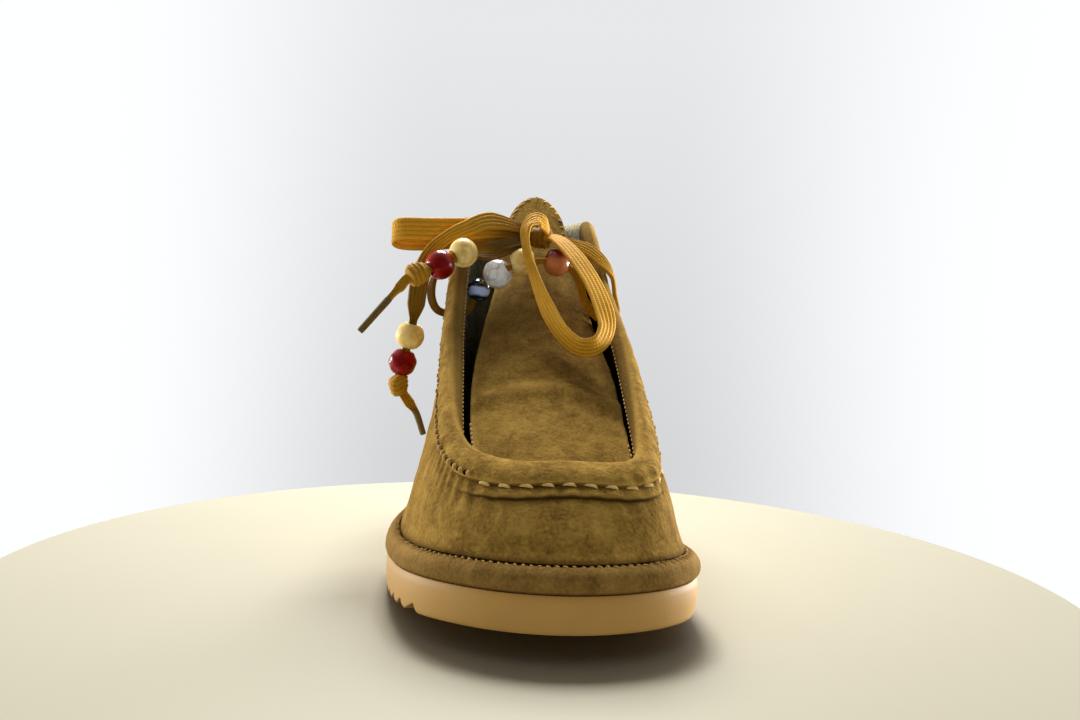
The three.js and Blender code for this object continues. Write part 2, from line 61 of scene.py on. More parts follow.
# Sole. The grooves are 5 wide in the CAD and wider here, as the teeth look in the photo.
TOE_FOAM, HEEL_FOAM, FOAM_RISE_TO = 11, 21, 230
TOE_SPRING, SPRING_RUN = 8.4, 92
ARCH_RISE, ARCH_FROM, ARCH_TO = 2.5, 112, 172
HEEL_LIFT, HEEL_LIFT_FROM = 3, 228
TREAD_FROM, TREAD_TO, TREAD_PITCH = 29, 250, 10
GROOVE_WIDE, GROOVE_DEEP, GROOVE_STEEP = 8, 3, 0.6

# Rand, insole, upper and tongue. Fades are counted in stations from the toe.
RAND_HIGH, RAND_IN, RAND_INNER = 7.8, 5, 12
INSOLE_GAP = 0.5
SUEDE_THICK, TONGUE_THICK = 1.4, 1.5
STRIP_HALF, STRIP_HIGH = 8, 0.7
SEAM_DROP, SEAM_FADE_FROM, SEAM_FADE_TO = 13.0, 0.9, 1.9
COLLAR_FROM, COLLAR_TO = 5.1, 6.0
HOLES = [(-35, -6, 103.5), (36.3, -6, 104.5)]
HOLE_RADIUS, HOLE_DEEP = 3.2, 14
TONGUE_TIP_FROM, TONGUE_TIP_POWER = 0.86, 2.6

# Fineness: steps for slopes, steps down the wall, points of lace, knots, tips, beads, holes and stitches.
STEP, FINE_STEP = 1e-3, 1e-4
WALL_STEPS = 161
LACE_PER_SPAN, LACE_ACROSS = 10, 37
KNOT_ALONG, KNOT_AROUND = 41, 72
FILM_ALONG, FILM_AROUND = 14, 20
BEAD_ALONG, BEAD_AROUND = 33, 64
HOLE_AROUND = 32
STITCH_ALONG, STITCH_AROUND = 7, 8

# Stitch lines: points ahead that give the direction, points left out at the end, points ahead on the rim.
LINE_AHEAD, LINE_END, RIM_AHEAD = 6, 8, 40
CHANCE_SEED = 7

# Stations round the shoe. Outline of the sole: x, s and swell of the wall. Ridge of the cuff: x, s and z.
BASE = np.array([
    [7, -23, -44, -53, -47, -42, -39, -27, 1, 29, 39, 40, 44, 53, 50.5, 36],
    [0, 8, 33, 84, 130, 174, 216, 252, 265, 252, 216, 174, 130, 82, 33, 9],
    [0.55, 0.55, 0.4, 0.02, 0.12, 0.65, 0.4, 0.45, 0.5, 0.45, 0.4, 0.65, 0.5, 0.42, 0.5, 0.6],
]).T
RIDGE = np.array([
    [6, -16, -27.5, -31.2, -31, -28, -32, -22, 1, 24, 34, 30, 32, 35.3, 31.8, 26],
    [32, 34, 50, 92, 125, 156, 198, 236, 251, 236, 198, 156, 125, 92, 50, 34],
    [52.6, 53.2, 62, 91, 121, 150, 152, 157, 161, 160, 157, 150, 121, 91, 62, 53.2],
]).T
STATION_COUNT = len(BASE)

# Tongue sections from root to tip. Line: x, s and z of the middle. Form: half width and drop of the edges.
TONGUE_LINE = np.array([
    [6, 4.5, 4.2, 4.6, 4.5, 5.5, 5, 5],
    [20, 42, 66, 92, 116, 138, 156, 168],
    [41.2, 51.5, 66, 84, 105, 127, 149, 164],
]).T
TONGUE_FORM = np.array([[21, 26, 28.2, 28, 23.5, 18.5, 14.5, 12], [2.5, 3, 5, 7, 8, 7, 5.5, 4]]).T

# Lace routes: x y z, width, thickness and the way the flat side looks.
CROSSING = [
    (0.6, 1.8, 137.4, 3.6, 2.2, 0, -0.8, 0.6),
    (-15, 0.5, 131, 6, 2, 0, -0.8, 0.6),
    (-26, -2.5, 130, 9, 2, -0.1, -0.5, 0.9),
    (-34, -5, 128, 8, 2, -0.5, -0.3, 0.9),
    (-40, -7.5, 121, 6, 2.2, -1, -0.2, 0.3),
    (-42, -9, 112, 4.8, 2.4, -0.85, -0.5, 0),
    (-39.8, -8, 105.5, 4, 2.6, -0.75, -0.5, -0.4),
    (*HOLES[0], 3.2, 2.6, 0, -0.4, -0.9),
    (-29, -5, 103.5, 3.2, 2.6, 0.2, -0.6, -0.8),
    (-25.4, 0.8, 107, 2.8, 2.4, 0.3, -0.7, -0.6),
    (-21.8, 1.4, 114.9, 2.8, 2.4, 0.2, -0.8, -0.5),
    (-14, -5.4, 121.6, 2.8, 2.4, 0.2, -0.8, -0.5),
    (-3.2, -7.5, 127, 2.8, 2.4, 0, -0.9, -0.4),
    (11.5, -7.5, 127.5, 2.8, 2.4, 0, -0.9, -0.4),
    (20.5, -6.5, 122.5, 3.6, 2.4, -0.2, -0.9, -0.3),
    (24.5, -5.5, 112, 3.6, 2.6, -0.3, -0.8, -0.4),
    (30, -5.5, 105, 3.2, 2.6, -0.2, -0.6, -0.8),
    (*HOLES[1], 3.2, 2.6, 0, -0.4, -0.9),
    (39.2, -5.6, 107, 3.8, 2.4, 0.9, -0.2, -0.3),
    (38, -4.8, 114.5, 5, 2, 1, -0.2, 0.1),
    (36.9, -3.2, 122.5, 7, 2, 0.95, -0.3, 0.2),
    (32.2, -1.8, 129.6, 8, 2, 0.35, -0.75, 0.6),
    (24.5, -0.3, 135.4, 8, 2, 0.1, -0.8, 0.6),
    (8, 2.4, 140, 3.6, 2.2, 0, -0.6, 0.8),
]
LOOP_OUTER = [
    (0.6, 2.8, 140.2, 3.6, 2.2, 0, -1, 0.2),
    (-13, -1.5, 141.5, 7.5, 2, 0.2, -1, 0.1),
    (-26, -5.5, 140.5, 9.5, 2, 0.2, -1, 0),
    (-43, -8, 139.2, 9.5, 2, 0.1, -1, 0),
    (-55, -8.5, 138.6, 9.5, 2, 0, -1, 0),
    (-59, -4.5, 137, 9.5, 2, -1, 0, 0),
    (-55, -0.5, 135.4, 9.5, 2, 0, 1, 0),
    (-42, 0.5, 136, 9.5, 2, 0, 1, 0),
    (-28, 2, 138, 9, 2, -0.1, 1, 0),
    (-14, 5.5, 139, 7, 2, -0.2, 1, 0),
    (1, 4.4, 138.8, 3.6, 2.2, -0.2, 1, 0),
]
LOOP_INNER = [
    (7.4, 0.4, 140.2, 5.5, 2.2, 0.2, -0.9, 0.4),
    (6.4, -5.4, 143.4, 8, 2, 0.1, -0.85, 0.5),
    (2, -9, 145.6, 8.5, 2, -0.3, -0.8, 0.5),
    (-2.4, -11.6, 142.2, 7.5, 2, -0.8, -0.6, 0.2),
    (-3.2, -15, 135.5, 6, 2, -0.9, -0.4, 0),
    (-1.6, -20, 126.5, 5.5, 2, -0.95, -0.3, 0),
    (1.8, -25.5, 115.5, 7, 2, -0.85, -0.5, -0.1),
    (6, -31.5, 105, 8.5, 2, -0.6, -0.7, -0.3),
    (11.2, -37.5, 96, 9, 2, -0.4, -0.7, -0.6),
    (17.8, -41.5, 90.8, 9.5, 2, -0.1, -0.7, -0.7),
    (24.8, -42, 92, 10, 2, 0.2, -0.7, -0.6),
    (28.6, -39, 98.8, 10, 2, 0.5, -0.8, -0.2),
    (27.6, -34, 107.8, 10, 2, 0.4, -0.9, 0.2),
    (24, -26, 118.5, 10, 2, 0.4, -0.8, 0.4),
    (18, -17, 129.5, 9.5, 2, 0.3, -0.8, 0.5),
    (11.8, -7.6, 137.4, 8.5, 2, 0.3, -0.8, 0.5),
    (7.2, 0.4, 139.8, 5.5, 2.2, 0.2, -0.8, 0.5),
]
END_HANGING = [
    (2, 0.4, 141.2, 3.6, 2.2, 0, -0.8, 0.6),
    (-16.5, -9, 143.8, 9.5, 2, 0, -0.9, 0.4),
    (-28, -13.5, 139.3, 7.5, 2, -0.1, -1, 0.3),
    (-36.5, -14, 134.6, 6, 2, -0.2, -1, 0.2),
    (-43, -14.5, 127.8, 6.5, 2, -0.3, -1, 0),
    (-46.5, -15, 117.5, 8, 2, -0.2, -1, 0),
    (-47.9, -13.5, 106.5, 7.5, 2, -0.1, -1, 0),
    *((*row, 0, -1, 0) for row in (
        (-48.8, -12.5, 100, 3.4, 2.8),
        (-50, -11.5, 93.3, 3.4, 2.8),
        (-52.8, -10, 82, 3.4, 2.8),
        (-54.1, -9.5, 76.9, 3.4, 2.8),
        (-54.3, -9, 72.4, 3.6, 2.8),
        (-52.2, -7.4, 68.6, 4, 2.6),
        (-49.6, -5, 64.6, 4.5, 2.2),
        (-46.6, -2.5, 60, 2.4, 2.4),
        (-43.6, -1.5, 51.5, 2.2, 2.2),
    )),
]
END_UPPER = [(*row, 0, -0.9, 0.4) for row in (
    (1.6, 0.6, 139, 3.6, 2.2),
    (-15, -11.5, 133, 5, 2.2),
    (-22.5, -16, 130.5, 3.4, 2.8),
    (-29, -19.5, 128.2, 3.4, 2.8),
    (-38.2, -24, 122.2, 3.4, 2.8),
    (-43.4, -26, 119.8, 3.4, 2.8),
    (-46.8, -27.4, 117.8, 3.6, 2.8),
    (-50.8, -28.3, 115.6, 4, 2.6),
    (-53.6, -29, 112, 4.5, 2.2),
    (-56.4, -30, 108.6, 2.4, 2.4),
    (-68, -32, 94, 2.2, 2.2),
)]

# Painted shade: how dark each piece of lace is painted where it lies in shade, evenly from start to end.
LACE_SHADE = {
    "lace_bar": (0.95, 0.85, 0.95, 0.5, 0.3, 0.3, 0.3),
    "bow_loop_outer": (1, 0.75, 0.05, 0, 0, 0.1, 0.3, 0.5, 0.6, 0.9, 1),
    "bow_loop_inner": (0.2, 0, 0, 0, 0, 0, 0.15),
    "bow_end_hanging": (1, 0.3, 0, 0.1, 0.45, 0.8, 0.84, 0.8, 0.6, 0.5, 0.5, 0.4, 0.4, 0.4, 0.4, 0.4),
    "bow_end_upper": (1, 0.95, 0.6, 0.4, 0.35, 0.3, 0.3, 0.3, 0.3, 0.3, 0.3),
    "bow_knot": 0.8,
    "bow_stopper_hanging": 0.42,
    "bow_stopper_upper": 0.42,
}

# Knots: the bow's, whose turn of lace is drawn shorter and thicker than the CAD's, and the stoppers.
KNOT_MIDDLE, KNOT_HALF, KNOT_DRAWN = (4.5, 2, 139.5), (7, 5, 4.5), (0.86, 1.04, 1.04)
STOPPER_HALF, STOPPER_GIRTHS = 4.5, (4.6, 4.2)
STOPPER_ROW = {"hanging": 11, "upper": 6}
TIP_ROW = {"hanging": 13.6, "upper": 9.1}

# Beads: bore, number of flats and share of the radius they lie at; then name, route, row, radius, slot.
BORE, FLATS, FLAT_REACH = 2.5, 34, 0.955
BEADS = [
    ("bead_blue", CROSSING, 10, 5, "blue_glass"),
    ("bead_clear", CROSSING, 11, 6.4, "clear_glass"),
    ("bead_cream", CROSSING, 12, 6, "cream_resin"),
    ("bead_amber", CROSSING, 13, 6, "amber_glass"),
    ("bead_hanging_cream", END_HANGING, 8, 6, "cream_resin"),
    ("bead_hanging_red", END_HANGING, 9, 6, "red_resin"),
    ("bead_upper_cream", END_UPPER, 3, 6, "cream_resin"),
    ("bead_upper_red", END_UPPER, 4, 6, "red_resin"),
]
FINISH_OF = {
    "blue_glass": "lampwork_blue_glass",
    "clear_glass": "crackled_clear_glass",
    "cream_resin": "tumbled_cream_resin",
    "amber_glass": "lampwork_amber_glass",
    "red_resin": "polished_red_resin",
}

# Camera at the photograph's viewing angle
EYE = (-28.1, -352.1, 84.5)
LOOK = (0.0976, 0.9952, 0.0017)
ROLL = -2.15
LENS, SENSOR = 26.67, 36
TABLE_RADIUS, TABLE_AHEAD, TABLE_THICK, TABLE_AROUND = 211, 346, 12, 160

# Lamps: name, stand, aim, width, height, power in watts.
LAMPS = [
    ("lamp_left", (-640, 190, 150), (0, -20, 60), 420, 220, 5.6),
    ("lamp_right", (640, 190, 110), (0, -20, 60), 420, 180, 9.6),
    ("lamp_top", (0, 300, 640), (0, -20, 0), 320, 320, 8.6),
    ("lamp_front", (0, -620, 50), (0, -100, 60), 700, 80, 1.15),
]


def linear(hex_colour):
    """Linear colour of an sRGB hex value."""
    parts = [int(hex_colour[i : i + 2], 16) / 255 for i in (0, 2, 4)]
    return [p / 12.92 if p <= 0.04045 else ((p + 0.055) / 1.055) ** 2.4 for p in parts]


def smooth(x, low, high):
    """0 below low, 1 above high and a soft ramp between them."""
    share = np.clip((np.asarray(x, float) - low) / (high - low), 0, 1)
    return share * share * (3 - 2 * share)


def bell(x, middle, width):
    return np.exp(-(((x - middle) / width) ** 2))


def unit(v):
    return v / np.linalg.norm(v, axis=-1, keepdims=True)


def stack(*parts):
    """Points from their separate coordinates."""
    return np.stack(np.broadcast_arrays(*parts), -1)


def circle(count):
    return np.linspace(0, 2 * np.pi, count, endpoint=False)


def both_sides(values):
    """Values of a sheet's outside, and the same for its inside in the opposite order."""
    return np.hstack([values, values[:, ::-1]])


def lumps(points, size, seed):
    """Soft noise from -1 to 1 at each point, with lumps about size across."""
    flat = (points.reshape(-1, 3) / size + seed * 17.3).tolist()
    return np.array([noise.noise(p) for p in flat]).reshape(points.shape[:-1])


def spline(points, at, closed):
    """Uniform Catmull-Rom curve through the points, at from 0 to 1."""
    points = np.asarray(points, float)
    count = len(points)
    spans = count if closed else count - 1
    place = (np.mod(at, 1) if closed else np.clip(at, 0, 1)) * spans
    i = np.minimum(np.floor(place).astype(int), spans - 1)
    w = (place - i)[..., None]
    if closed:
        a, b, c, d = (points[(i + k) % count] for k in (-1, 0, 1, 2))
    else:
        ends = [2 * points[0] - points[1]], points, [2 * points[-1] - points[-2]]
        long = np.vstack(ends)
        a, b, c, d = (long[i + k] for k in (0, 1, 2, 3))
    leave, arrive = (c - a) / 2, (d - b) / 2
    return ((2 * b - 2 * c + leave + arrive) * w + 3 * (c - b) - 2 * leave - arrive) * w * w + leave * w + b


def slope(points, at, closed, step):
    """Difference along a spline, over a step to each side."""
    return spline(points, at + step, closed) - spline(points, at - step, closed)


def along_toe(s):
    return TOE_SPRING * (0.5 + 0.5 * np.cos(np.pi * np.clip(s / SPRING_RUN, 0, 1)))


def underside(s):
    heel = np.clip((s - HEEL_LIFT_FROM) / (LENGTH - HEEL_LIFT_FROM), 0, 1)
    arch = np.clip((s - ARCH_FROM) / (ARCH_TO - ARCH_FROM), 0, 1)
    return along_toe(s) + HEEL_LIFT * heel**2 + ARCH_RISE * np.sin(arch * np.pi) ** 2


def foam_top(s):
    return along_toe(s) + TOE_FOAM + (HEEL_FOAM - TOE_FOAM) * smooth(s, 0, FOAM_RISE_TO)


def place(x, s, z):
    return stack(x, s - LENGTH / 2, z)


def outline(t, inset):
    """x and s of the sole's outline at t, moved inwards."""
    at = spline(BASE, t, True)
    ahead = slope(BASE, t, True, STEP)
    long = np.hypot(ahead[..., 0], ahead[..., 1])
    return at[..., 0] + inset * ahead[..., 1] / long, at[..., 1] - inset * ahead[..., 0] / long


def on_foam(t, inset, high):
    x, s = outline(t, inset)
    return place(x, s, foam_top(s) + high)


def wall(t, v):
    """Outside of the upper: v from 0 at the rand to 1 at the cuff's ridge."""
    foot = on_foam(t, RAND_IN, RAND_HIGH)
    ridge = spline(RIDGE, t, True)
    top = place(ridge[..., 0], ridge[..., 1], ridge[..., 2])
    belly = spline(BASE, t, True)[..., 2]
    inwards = v + belly * (1 - np.cos(v * np.pi / 2) - v)
    upwards = v + belly * (np.sin(v * np.pi / 2) - v)
    return foot + (top - foot) * stack(inwards, inwards, upwards)


def wall_out(t, v):
    """Direction straight out of the wall."""
    high = np.minimum(v + STEP, 1)
    rise = wall(t, high) - wall(t, high - 2 * STEP)
    ahead = wall(t + STEP, v) - wall(t - STEP, v)
    return unit(np.cross(rise, ahead))


def off_wall(t, v, out):
    return wall(t, v) + wall_out(t, v) * np.asarray(out)[..., None]


def run_along(points):
    """Distance walked along each row of points from its start, to each of them."""
    stride = np.linalg.norm(np.diff(points, axis=-2), axis=-1)
    return np.concatenate([np.zeros_like(stride[..., :1]), np.cumsum(stride, -1)], -1)


def run_down(rows):
    """Distance from the top of each row of points up the wall, to each of them."""
    walked = run_along(rows)
    return walked[:, -1:] - walked


def v_below(t, drop):
    """The v that lies a distance down the wall from the ridge. t is a column, drop one value or rows."""
    steps = np.linspace(1, 0, WALL_STEPS)
    walked = run_along(wall(t, steps[None, :]))
    drop = np.atleast_1d(drop)
    drop = np.broadcast_to(drop, (len(walked), drop.shape[-1]))
    return np.array([np.interp(d, w, steps) for d, w in zip(drop, walked)])


def line_below(t, drop, out):
    """Line round the shoe, a distance down the wall from the ridge and out from it."""
    return off_wall(t, v_below(t, drop), out)[:, 0]


def stations_from_toe(t):
    return np.minimum(np.mod(t, 1), 1 - np.mod(t, 1)) * STATION_COUNT


def seam_share(t):
    """Whole across the toe, gone behind the ball."""
    return 1 - smooth(stations_from_toe(t), SEAM_FADE_FROM, SEAM_FADE_TO)


def collar_share(t):
    """0 along the throat and 1 round the ankle opening."""
    return smooth(stations_from_toe(t), COLLAR_FROM, COLLAR_TO)


def ring_places(count):
    return (np.arange(count) / count)[:, None]


def toe_seam(t):
    """Share of the toe seam at each place of a ring, distance along it from its middle, and its tucks."""
    sizes, _ = settings()
    line = line_below(t, SEAM_DROP, 0)
    run = run_along(line)
    total = run[-1] + np.linalg.norm(line[0] - line[-1])
    run = np.where(run > total / 2, run - total, run)[:, None]
    return seam_share(t), run, np.cos(2 * np.pi * run / (sizes.toe_stitch / MM))


def tongue_sheet(across, along, under):
    """Point of the tongue: across from -1 to 1, along from 0 at the root to 1 at the tip."""
    at = spline(TONGUE_LINE, along, False)
    ahead = unit(slope(TONGUE_LINE, along, False, FINE_STEP)[..., 1:])
    form = spline(TONGUE_FORM, along, False)
    tip = np.clip((along - TONGUE_TIP_FROM) / (1 - TONGUE_TIP_FROM), 0, 1)
    narrow = np.sqrt(1 - tip**TONGUE_TIP_POWER)
    sunk = form[..., 1] * (across * narrow) ** 2 + under
    x = at[..., 0] + across * form[..., 0] * narrow
    return place(x, at[..., 1] + ahead[..., 1] * sunk, at[..., 2] - ahead[..., 0] * sunk)


def quads(rows, columns, round_rows=False, round_columns=False, start=0):
    """Faces between neighbouring rows and columns of points."""
    i = np.arange(rows if round_rows else rows - 1)[:, None]
    j = np.arange(columns if round_columns else columns - 1)[None, :]
    after, beside = (i + 1) % rows, (j + 1) % columns
    corners = i * columns + j, i * columns + beside, after * columns + beside, after * columns + j
    return (stack(*corners).reshape(-1, 4) + start).tolist()


def tube(rows, columns, start=0):
    """Faces of a tube: the quads between its rings and a cap at each end."""
    firsts = start, start + (rows - 1) * columns
    caps = [list(range(first, first + columns)) for first in firsts]
    return quads(rows, columns, round_columns=True, start=start) + caps


def make_piece(name, points, faces, look, slot=None, stands_for=(), marks=None, weave=None):
    """A named mesh that rides on the shoe.

    look names its finish, marks are named values at the points, and weave is their place on the lace.
    """
    points = np.asarray(points, float).reshape(-1, 3)
    mesh = bpy.data.meshes.new(name)
    mesh.from_pydata((points * MM).tolist(), [], faces)
    for mark, values in (marks or {}).items():
        mesh.attributes.new(mark, "FLOAT", "POINT").data.foreach_set("value", np.ravel(values))
    if weave is not None:
        corner = np.empty(len(mesh.loops), int)
        mesh.loops.foreach_get("vertex_index", corner)
        mesh.uv_layers.new(name="weave").data.foreach_set("uv", weave.reshape(-1, 2)[corner].ravel())
    shell = bmesh.new()
    shell.from_mesh(mesh)
    bmesh.ops.recalc_face_normals(shell, faces=shell.faces)
    shell.to_mesh(mesh)
    shell.free()
    mesh.shade_smooth()
    mesh.materials.append(finish(look))
    made = bpy.data.objects.new(name, mesh)
    bpy.context.scene.collection.objects.link(made)
    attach(made, BODY)
    if stands_for:
        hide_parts(*stands_for)
    return made


def sharpen(made, degrees):
    made.data.set_sharp_from_angle(angle=math.radians(degrees))


def punch(made):
    """Cuts the lace holes through a piece."""
    for x, y, z in HOLES:
        mesh = bpy.data.meshes.new("punch")
        tool = bmesh.new()
        turn = Matrix.Translation(Vector((x, y, z)) * MM) @ Matrix.Rotation(math.pi / 2, 4, "Y")
        bmesh.ops.create_cone(
            tool, cap_ends=True, segments=HOLE_AROUND, radius1=HOLE_RADIUS * MM, radius2=HOLE_RADIUS * MM,
            depth=HOLE_DEEP * MM, matrix=turn,
        )
        tool.to_mesh(mesh)
        tool.free()
        cutter = bpy.data.objects.new("punch", mesh)
        bpy.context.scene.collection.objects.link(cutter)
        cut = made.modifiers.new("hole", "BOOLEAN")
        cut.operation, cut.solver, cut.object = "DIFFERENCE", "EXACT", cutter
        whole = made.data
        made.data = bpy.data.meshes.new_from_object(made.evaluated_get(bpy.context.evaluated_depsgraph_get()))
        made.modifiers.clear()
        bpy.data.objects.remove(cutter)
        bpy.data.meshes.remove(whole)


def add_node(tree, kind, inputs=None, out=0, **options):
    """Adds a node, sets its options, gives each input a value or a link, and returns one of its outputs."""
    made = tree.nodes.new("ShaderNode" + kind)
    for option, value in options.items():
        setattr(made, option, value)
    for name, value in (inputs or {}).items():
        if isinstance(value, bpy.types.NodeSocket):
            tree.links.new(value, made.inputs[name])
        else:
            made.inputs[name].default_value = value
    return made.outputs[out] if made.outputs else None


def grains(size):
    """Texture scale for grains of a size in millimetres, on coordinates in metres."""
    return 1 / (size * MM)


def shade(colour, share=1.0, more=0.0):
    """A colour made darker or lighter, as a socket takes it."""
    return (*(min(1, c * share + more) for c in colour), 1)


def marked(tree, tone, marks):
    """A tone with other colours over it, where a piece's marks say so."""
    for mark, colour in marks.items():
        amount = add_node(tree, "Attribute", out="Fac", attribute_name=mark)
        tone = add_node(tree, "Mix", {0: amount, 6: tone, 7: colour}, 2, data_type="RGBA")
    return tone


def mottled(tree, where, tones, texture, sockets, relief=None, ramp=None):
    """Two tones in spots. relief is a bump's strength and depth, ramp the part of the noise that is used."""
    spots = add_node(tree, "TexNoise", {"Vector": where, **texture})
    share = add_node(tree, "MapRange", {0: spots, 1: ramp[0], 2: ramp[1]}) if ramp else spots
    made = {"Base Color": add_node(tree, "Mix", {0: share, 6: tones[0], 7: tones[1]}, 2, data_type="RGBA")}
    if relief:
        bump = {"Strength": relief[0], "Distance": relief[1] * MM, "Height": spots}
        made["Normal"] = add_node(tree, "Bump", bump)
    return {**made, **sockets}


def suede(tree, where, dark, light, sizes):
    """Split cowhide, buffed to a nap: matt, cloudy where the nap lies over, pale on edges, with a soft sheen.

    Single fibres are too fine to show, so the nap is drawn coarser, as clumps.
    """
    cloud, nap = sizes.cloud / MM, sizes.nap / MM
    clouds, strokes, fibres = (
        add_node(
            tree, "TexNoise",
            {"Vector": where, "Scale": grains(size), "Detail": detail, "Roughness": 0.6, "Distortion": twist},
        )
        for size, detail, twist in ((cloud, 3, 0.3), (cloud / 4, 4, 0.6), (nap, 2, 0))
    )
    mixed = add_node(tree, "Math", {0: clouds, 1: 0.36}, operation="MULTIPLY")
    for part in (strokes, fibres):
        mixed = add_node(tree, "Math", {0: part, 1: 0.32, 2: mixed}, operation="MULTIPLY_ADD")
    ramp = add_node(tree, "MapRange", {0: mixed, 1: 0.36, 2: 0.64})
    hide = add_node(tree, "Mix", {0: ramp, 6: shade(dark), 7: shade(light)}, 2, data_type="RGBA")
    bump = add_node(tree, "Bump", {"Strength": 0.55, "Distance": 0.6 * MM, "Height": fibres})
    bump = add_node(tree, "Bump", {"Strength": 0.35, "Distance": 1.2 * MM, "Height": strokes, "Normal": bump})
    return {
        # Marks: the pale one paints highlights on edges and crests and pale blots; the other paints shade.
        "Base Color": marked(tree, hide, {"pale": shade(light, 1.5, 0.01), "painted_shade": shade(dark, 0.25)}),
        "Normal": bump, "Roughness": 0.95, "Specular IOR Level": 0.05,
        "Sheen Weight": 0.12, "Sheen Roughness": 0.5, "Sheen Tint": shade(light),
    }


def moulded_foam(tree, where, colour):
    """EVA foam, pressed in a mould: satin skin with a faint bubbled grain and a little scuffing."""
    bubbles = add_node(tree, "TexVoronoi", {"Vector": where, "Scale": grains(0.7)}, feature="SMOOTH_F1")
    skin = add_node(tree, "Bump", {"Strength": 0.12, "Distance": 0.3 * MM, "Height": bubbles})
    tones = shade(colour, 0.86), shade(colour, 1.12)
    sockets = {"Normal": skin, "Roughness": 0.62, "Specular IOR Level": 0.35}
    return mottled(tree, where, tones, {"Scale": grains(18), "Detail": 4}, sockets)


def curly_fleece(tree, where, colour, throat, curl):
    """Sheep fleece, clipped short: off-white tufts, with painted shade between them and in the throat.

    Single hairs are too fine to show and are drawn coarser.
    """
    form = {"Vector": where, "Scale": grains(curl), "Randomness": 1.0, "Smoothness": 0.6}
    tufts = add_node(tree, "TexVoronoi", form, feature="SMOOTH_F1")
    form = {"Vector": where, "Scale": grains(0.5), "Detail": 3, "Distortion": 1.5}
    hairs = add_node(tree, "TexNoise", form)
    tone = add_node(tree, "Mix", {0: tufts, 6: shade(colour), 7: shade(colour, 0.55)}, 2, data_type="RGBA")
    fuzz = add_node(tree, "Bump", {"Strength": 0.7, "Distance": 0.8 * MM, "Height": hairs})
    form = {"Strength": 0.6, "Distance": 1.5 * MM, "Height": tufts, "Normal": fuzz}
    return {
        # The mark paints shade, darkening the fleece to the throat colour deep in the shoe.
        "Base Color": marked(tree, tone, {"painted_shade": shade(throat)}),
        "Normal": add_node(tree, "Bump", form, invert=True), "Roughness": 1.0, "Specular IOR Level": 0.0,
    }


def knitted_lace(tree, where, colour, stitch, ribs):
    """Flat cotton lace, knitted in ribs: dry, slanted stitches up each rib, painted shade in the channels."""
    weave = add_node(tree, "UVMap", uv_map="weave")
    across, along, _ = add_node(tree, "SeparateXYZ", {0: weave}).node.outputs
    rib = add_node(tree, "Math", {0: across, 1: float(ribs)}, operation="MULTIPLY")
    beside = add_node(tree, "Math", {0: rib, 1: 0.5}, operation="PINGPONG")
    up = add_node(tree, "Math", {0: along, 1: 1 / stitch, 2: beside}, operation="MULTIPLY_ADD")
    turns = add_node(tree, "Math", {0: up, 1: 2 * math.pi}, operation="MULTIPLY")
    stitches = add_node(tree, "Math", {0: turns}, operation="SINE")
    form = {"Vector": where, "Scale": grains(2.2), "Detail": 5, "Roughness": 0.7}
    fibres = add_node(tree, "TexNoise", form)
    channel = add_node(tree, "MapRange", {0: beside, 1: 0.0, 2: 0.2, 3: 0.62, 4: 1.0})
    knit = add_node(tree, "MapRange", {0: stitches, 1: -1.0, 2: 1.0, 3: 0.92, 4: 1.0})
    light = add_node(tree, "Math", {0: channel, 1: knit}, operation="MULTIPLY")
    tones = {0: fibres, 6: shade(colour, 0.82), 7: shade(colour, 1.2)}
    tone = add_node(tree, "Mix", tones, 2, data_type="RGBA")
    # Painted shade: this dark colour fills the channels, the gaps between stitches and the marked lace.
    dark = shade(colour, 0.12)
    yarn = add_node(tree, "Mix", {0: light, 6: dark, 7: tone}, 2, data_type="RGBA")
    return {
        "Base Color": marked(tree, yarn, {"painted_shade": dark}),
        "Normal": add_node(tree, "Bump", {"Strength": 0.25, "Distance": 0.2 * MM, "Height": stitches}),
        "Roughness": 0.75, "Specular IOR Level": 0.25,
        "Sheen Weight": 0.2, "Sheen Roughness": 0.4, "Sheen Tint": shade(colour),
    }


def twisted_thread(tree, where, colour):
    """Waxed sewing thread, twisted: pale, slightly shiny, with dark lines between the plies, drawn coarse."""
    tones = shade(colour, 0.6), shade(colour, 1.25)
    sockets = {"Roughness": 0.7, "Specular IOR Level": 0.12}
    return mottled(tree, where, tones, {"Scale": grains(0.9), "Detail": 3}, sockets, (0.5, 0.3))


def pierced_suede(tree, where, colour):
    """Painted shade of a needle hole: dark, matt and rough suede where the needle went in."""
    tones = shade(colour, 0.6), shade(colour, 1.6)
    sockets = {"Roughness": 1.0, "Specular IOR Level": 0.05}
    return mottled(tree, where, tones, {"Scale": grains(0.6), "Detail": 2}, sockets)


def cast_resin(tree, where, low, high, gloss, vein):
    """Resin, cast and tumbled: clouded colour under a smooth skin with small pits from wear."""
    texture = {"Scale": grains(vein), "Detail": 5, "Roughness": 0.6, "Distortion": 1.2}
    sockets = {
        "Roughness": gloss, "IOR": 1.5, "Specular IOR Level": 0.22,
        "Coat Weight": 0.06 if gloss < 0.3 else 0.0, "Coat Roughness": 0.08,
        "Subsurface Weight": 0.6, "Subsurface Radius": (1.0, 0.8, 0.5), "Subsurface Scale": 4 * MM,
    }
    return mottled(tree, where, (shade(low), shade(high)), texture, sockets, (0.08, 0.2), (0.35, 0.65))


def crackled_glass(tree, where, colour):
    """Clear glass, quenched so that it crackles: white wisps of crack faces inside a polished bead."""
    texture = {"Scale": grains(6), "Detail": 5, "Roughness": 0.55, "Distortion": 2.5}
    sockets = {"Roughness": 0.1, "IOR": 1.5, "Subsurface Weight": 0.5, "Subsurface Scale": 8 * MM}
    tones = shade(colour, 0.6), shade(colour)
    return mottled(tree, where, tones, texture, sockets, (0.4, 0.8), (0.34, 0.54))


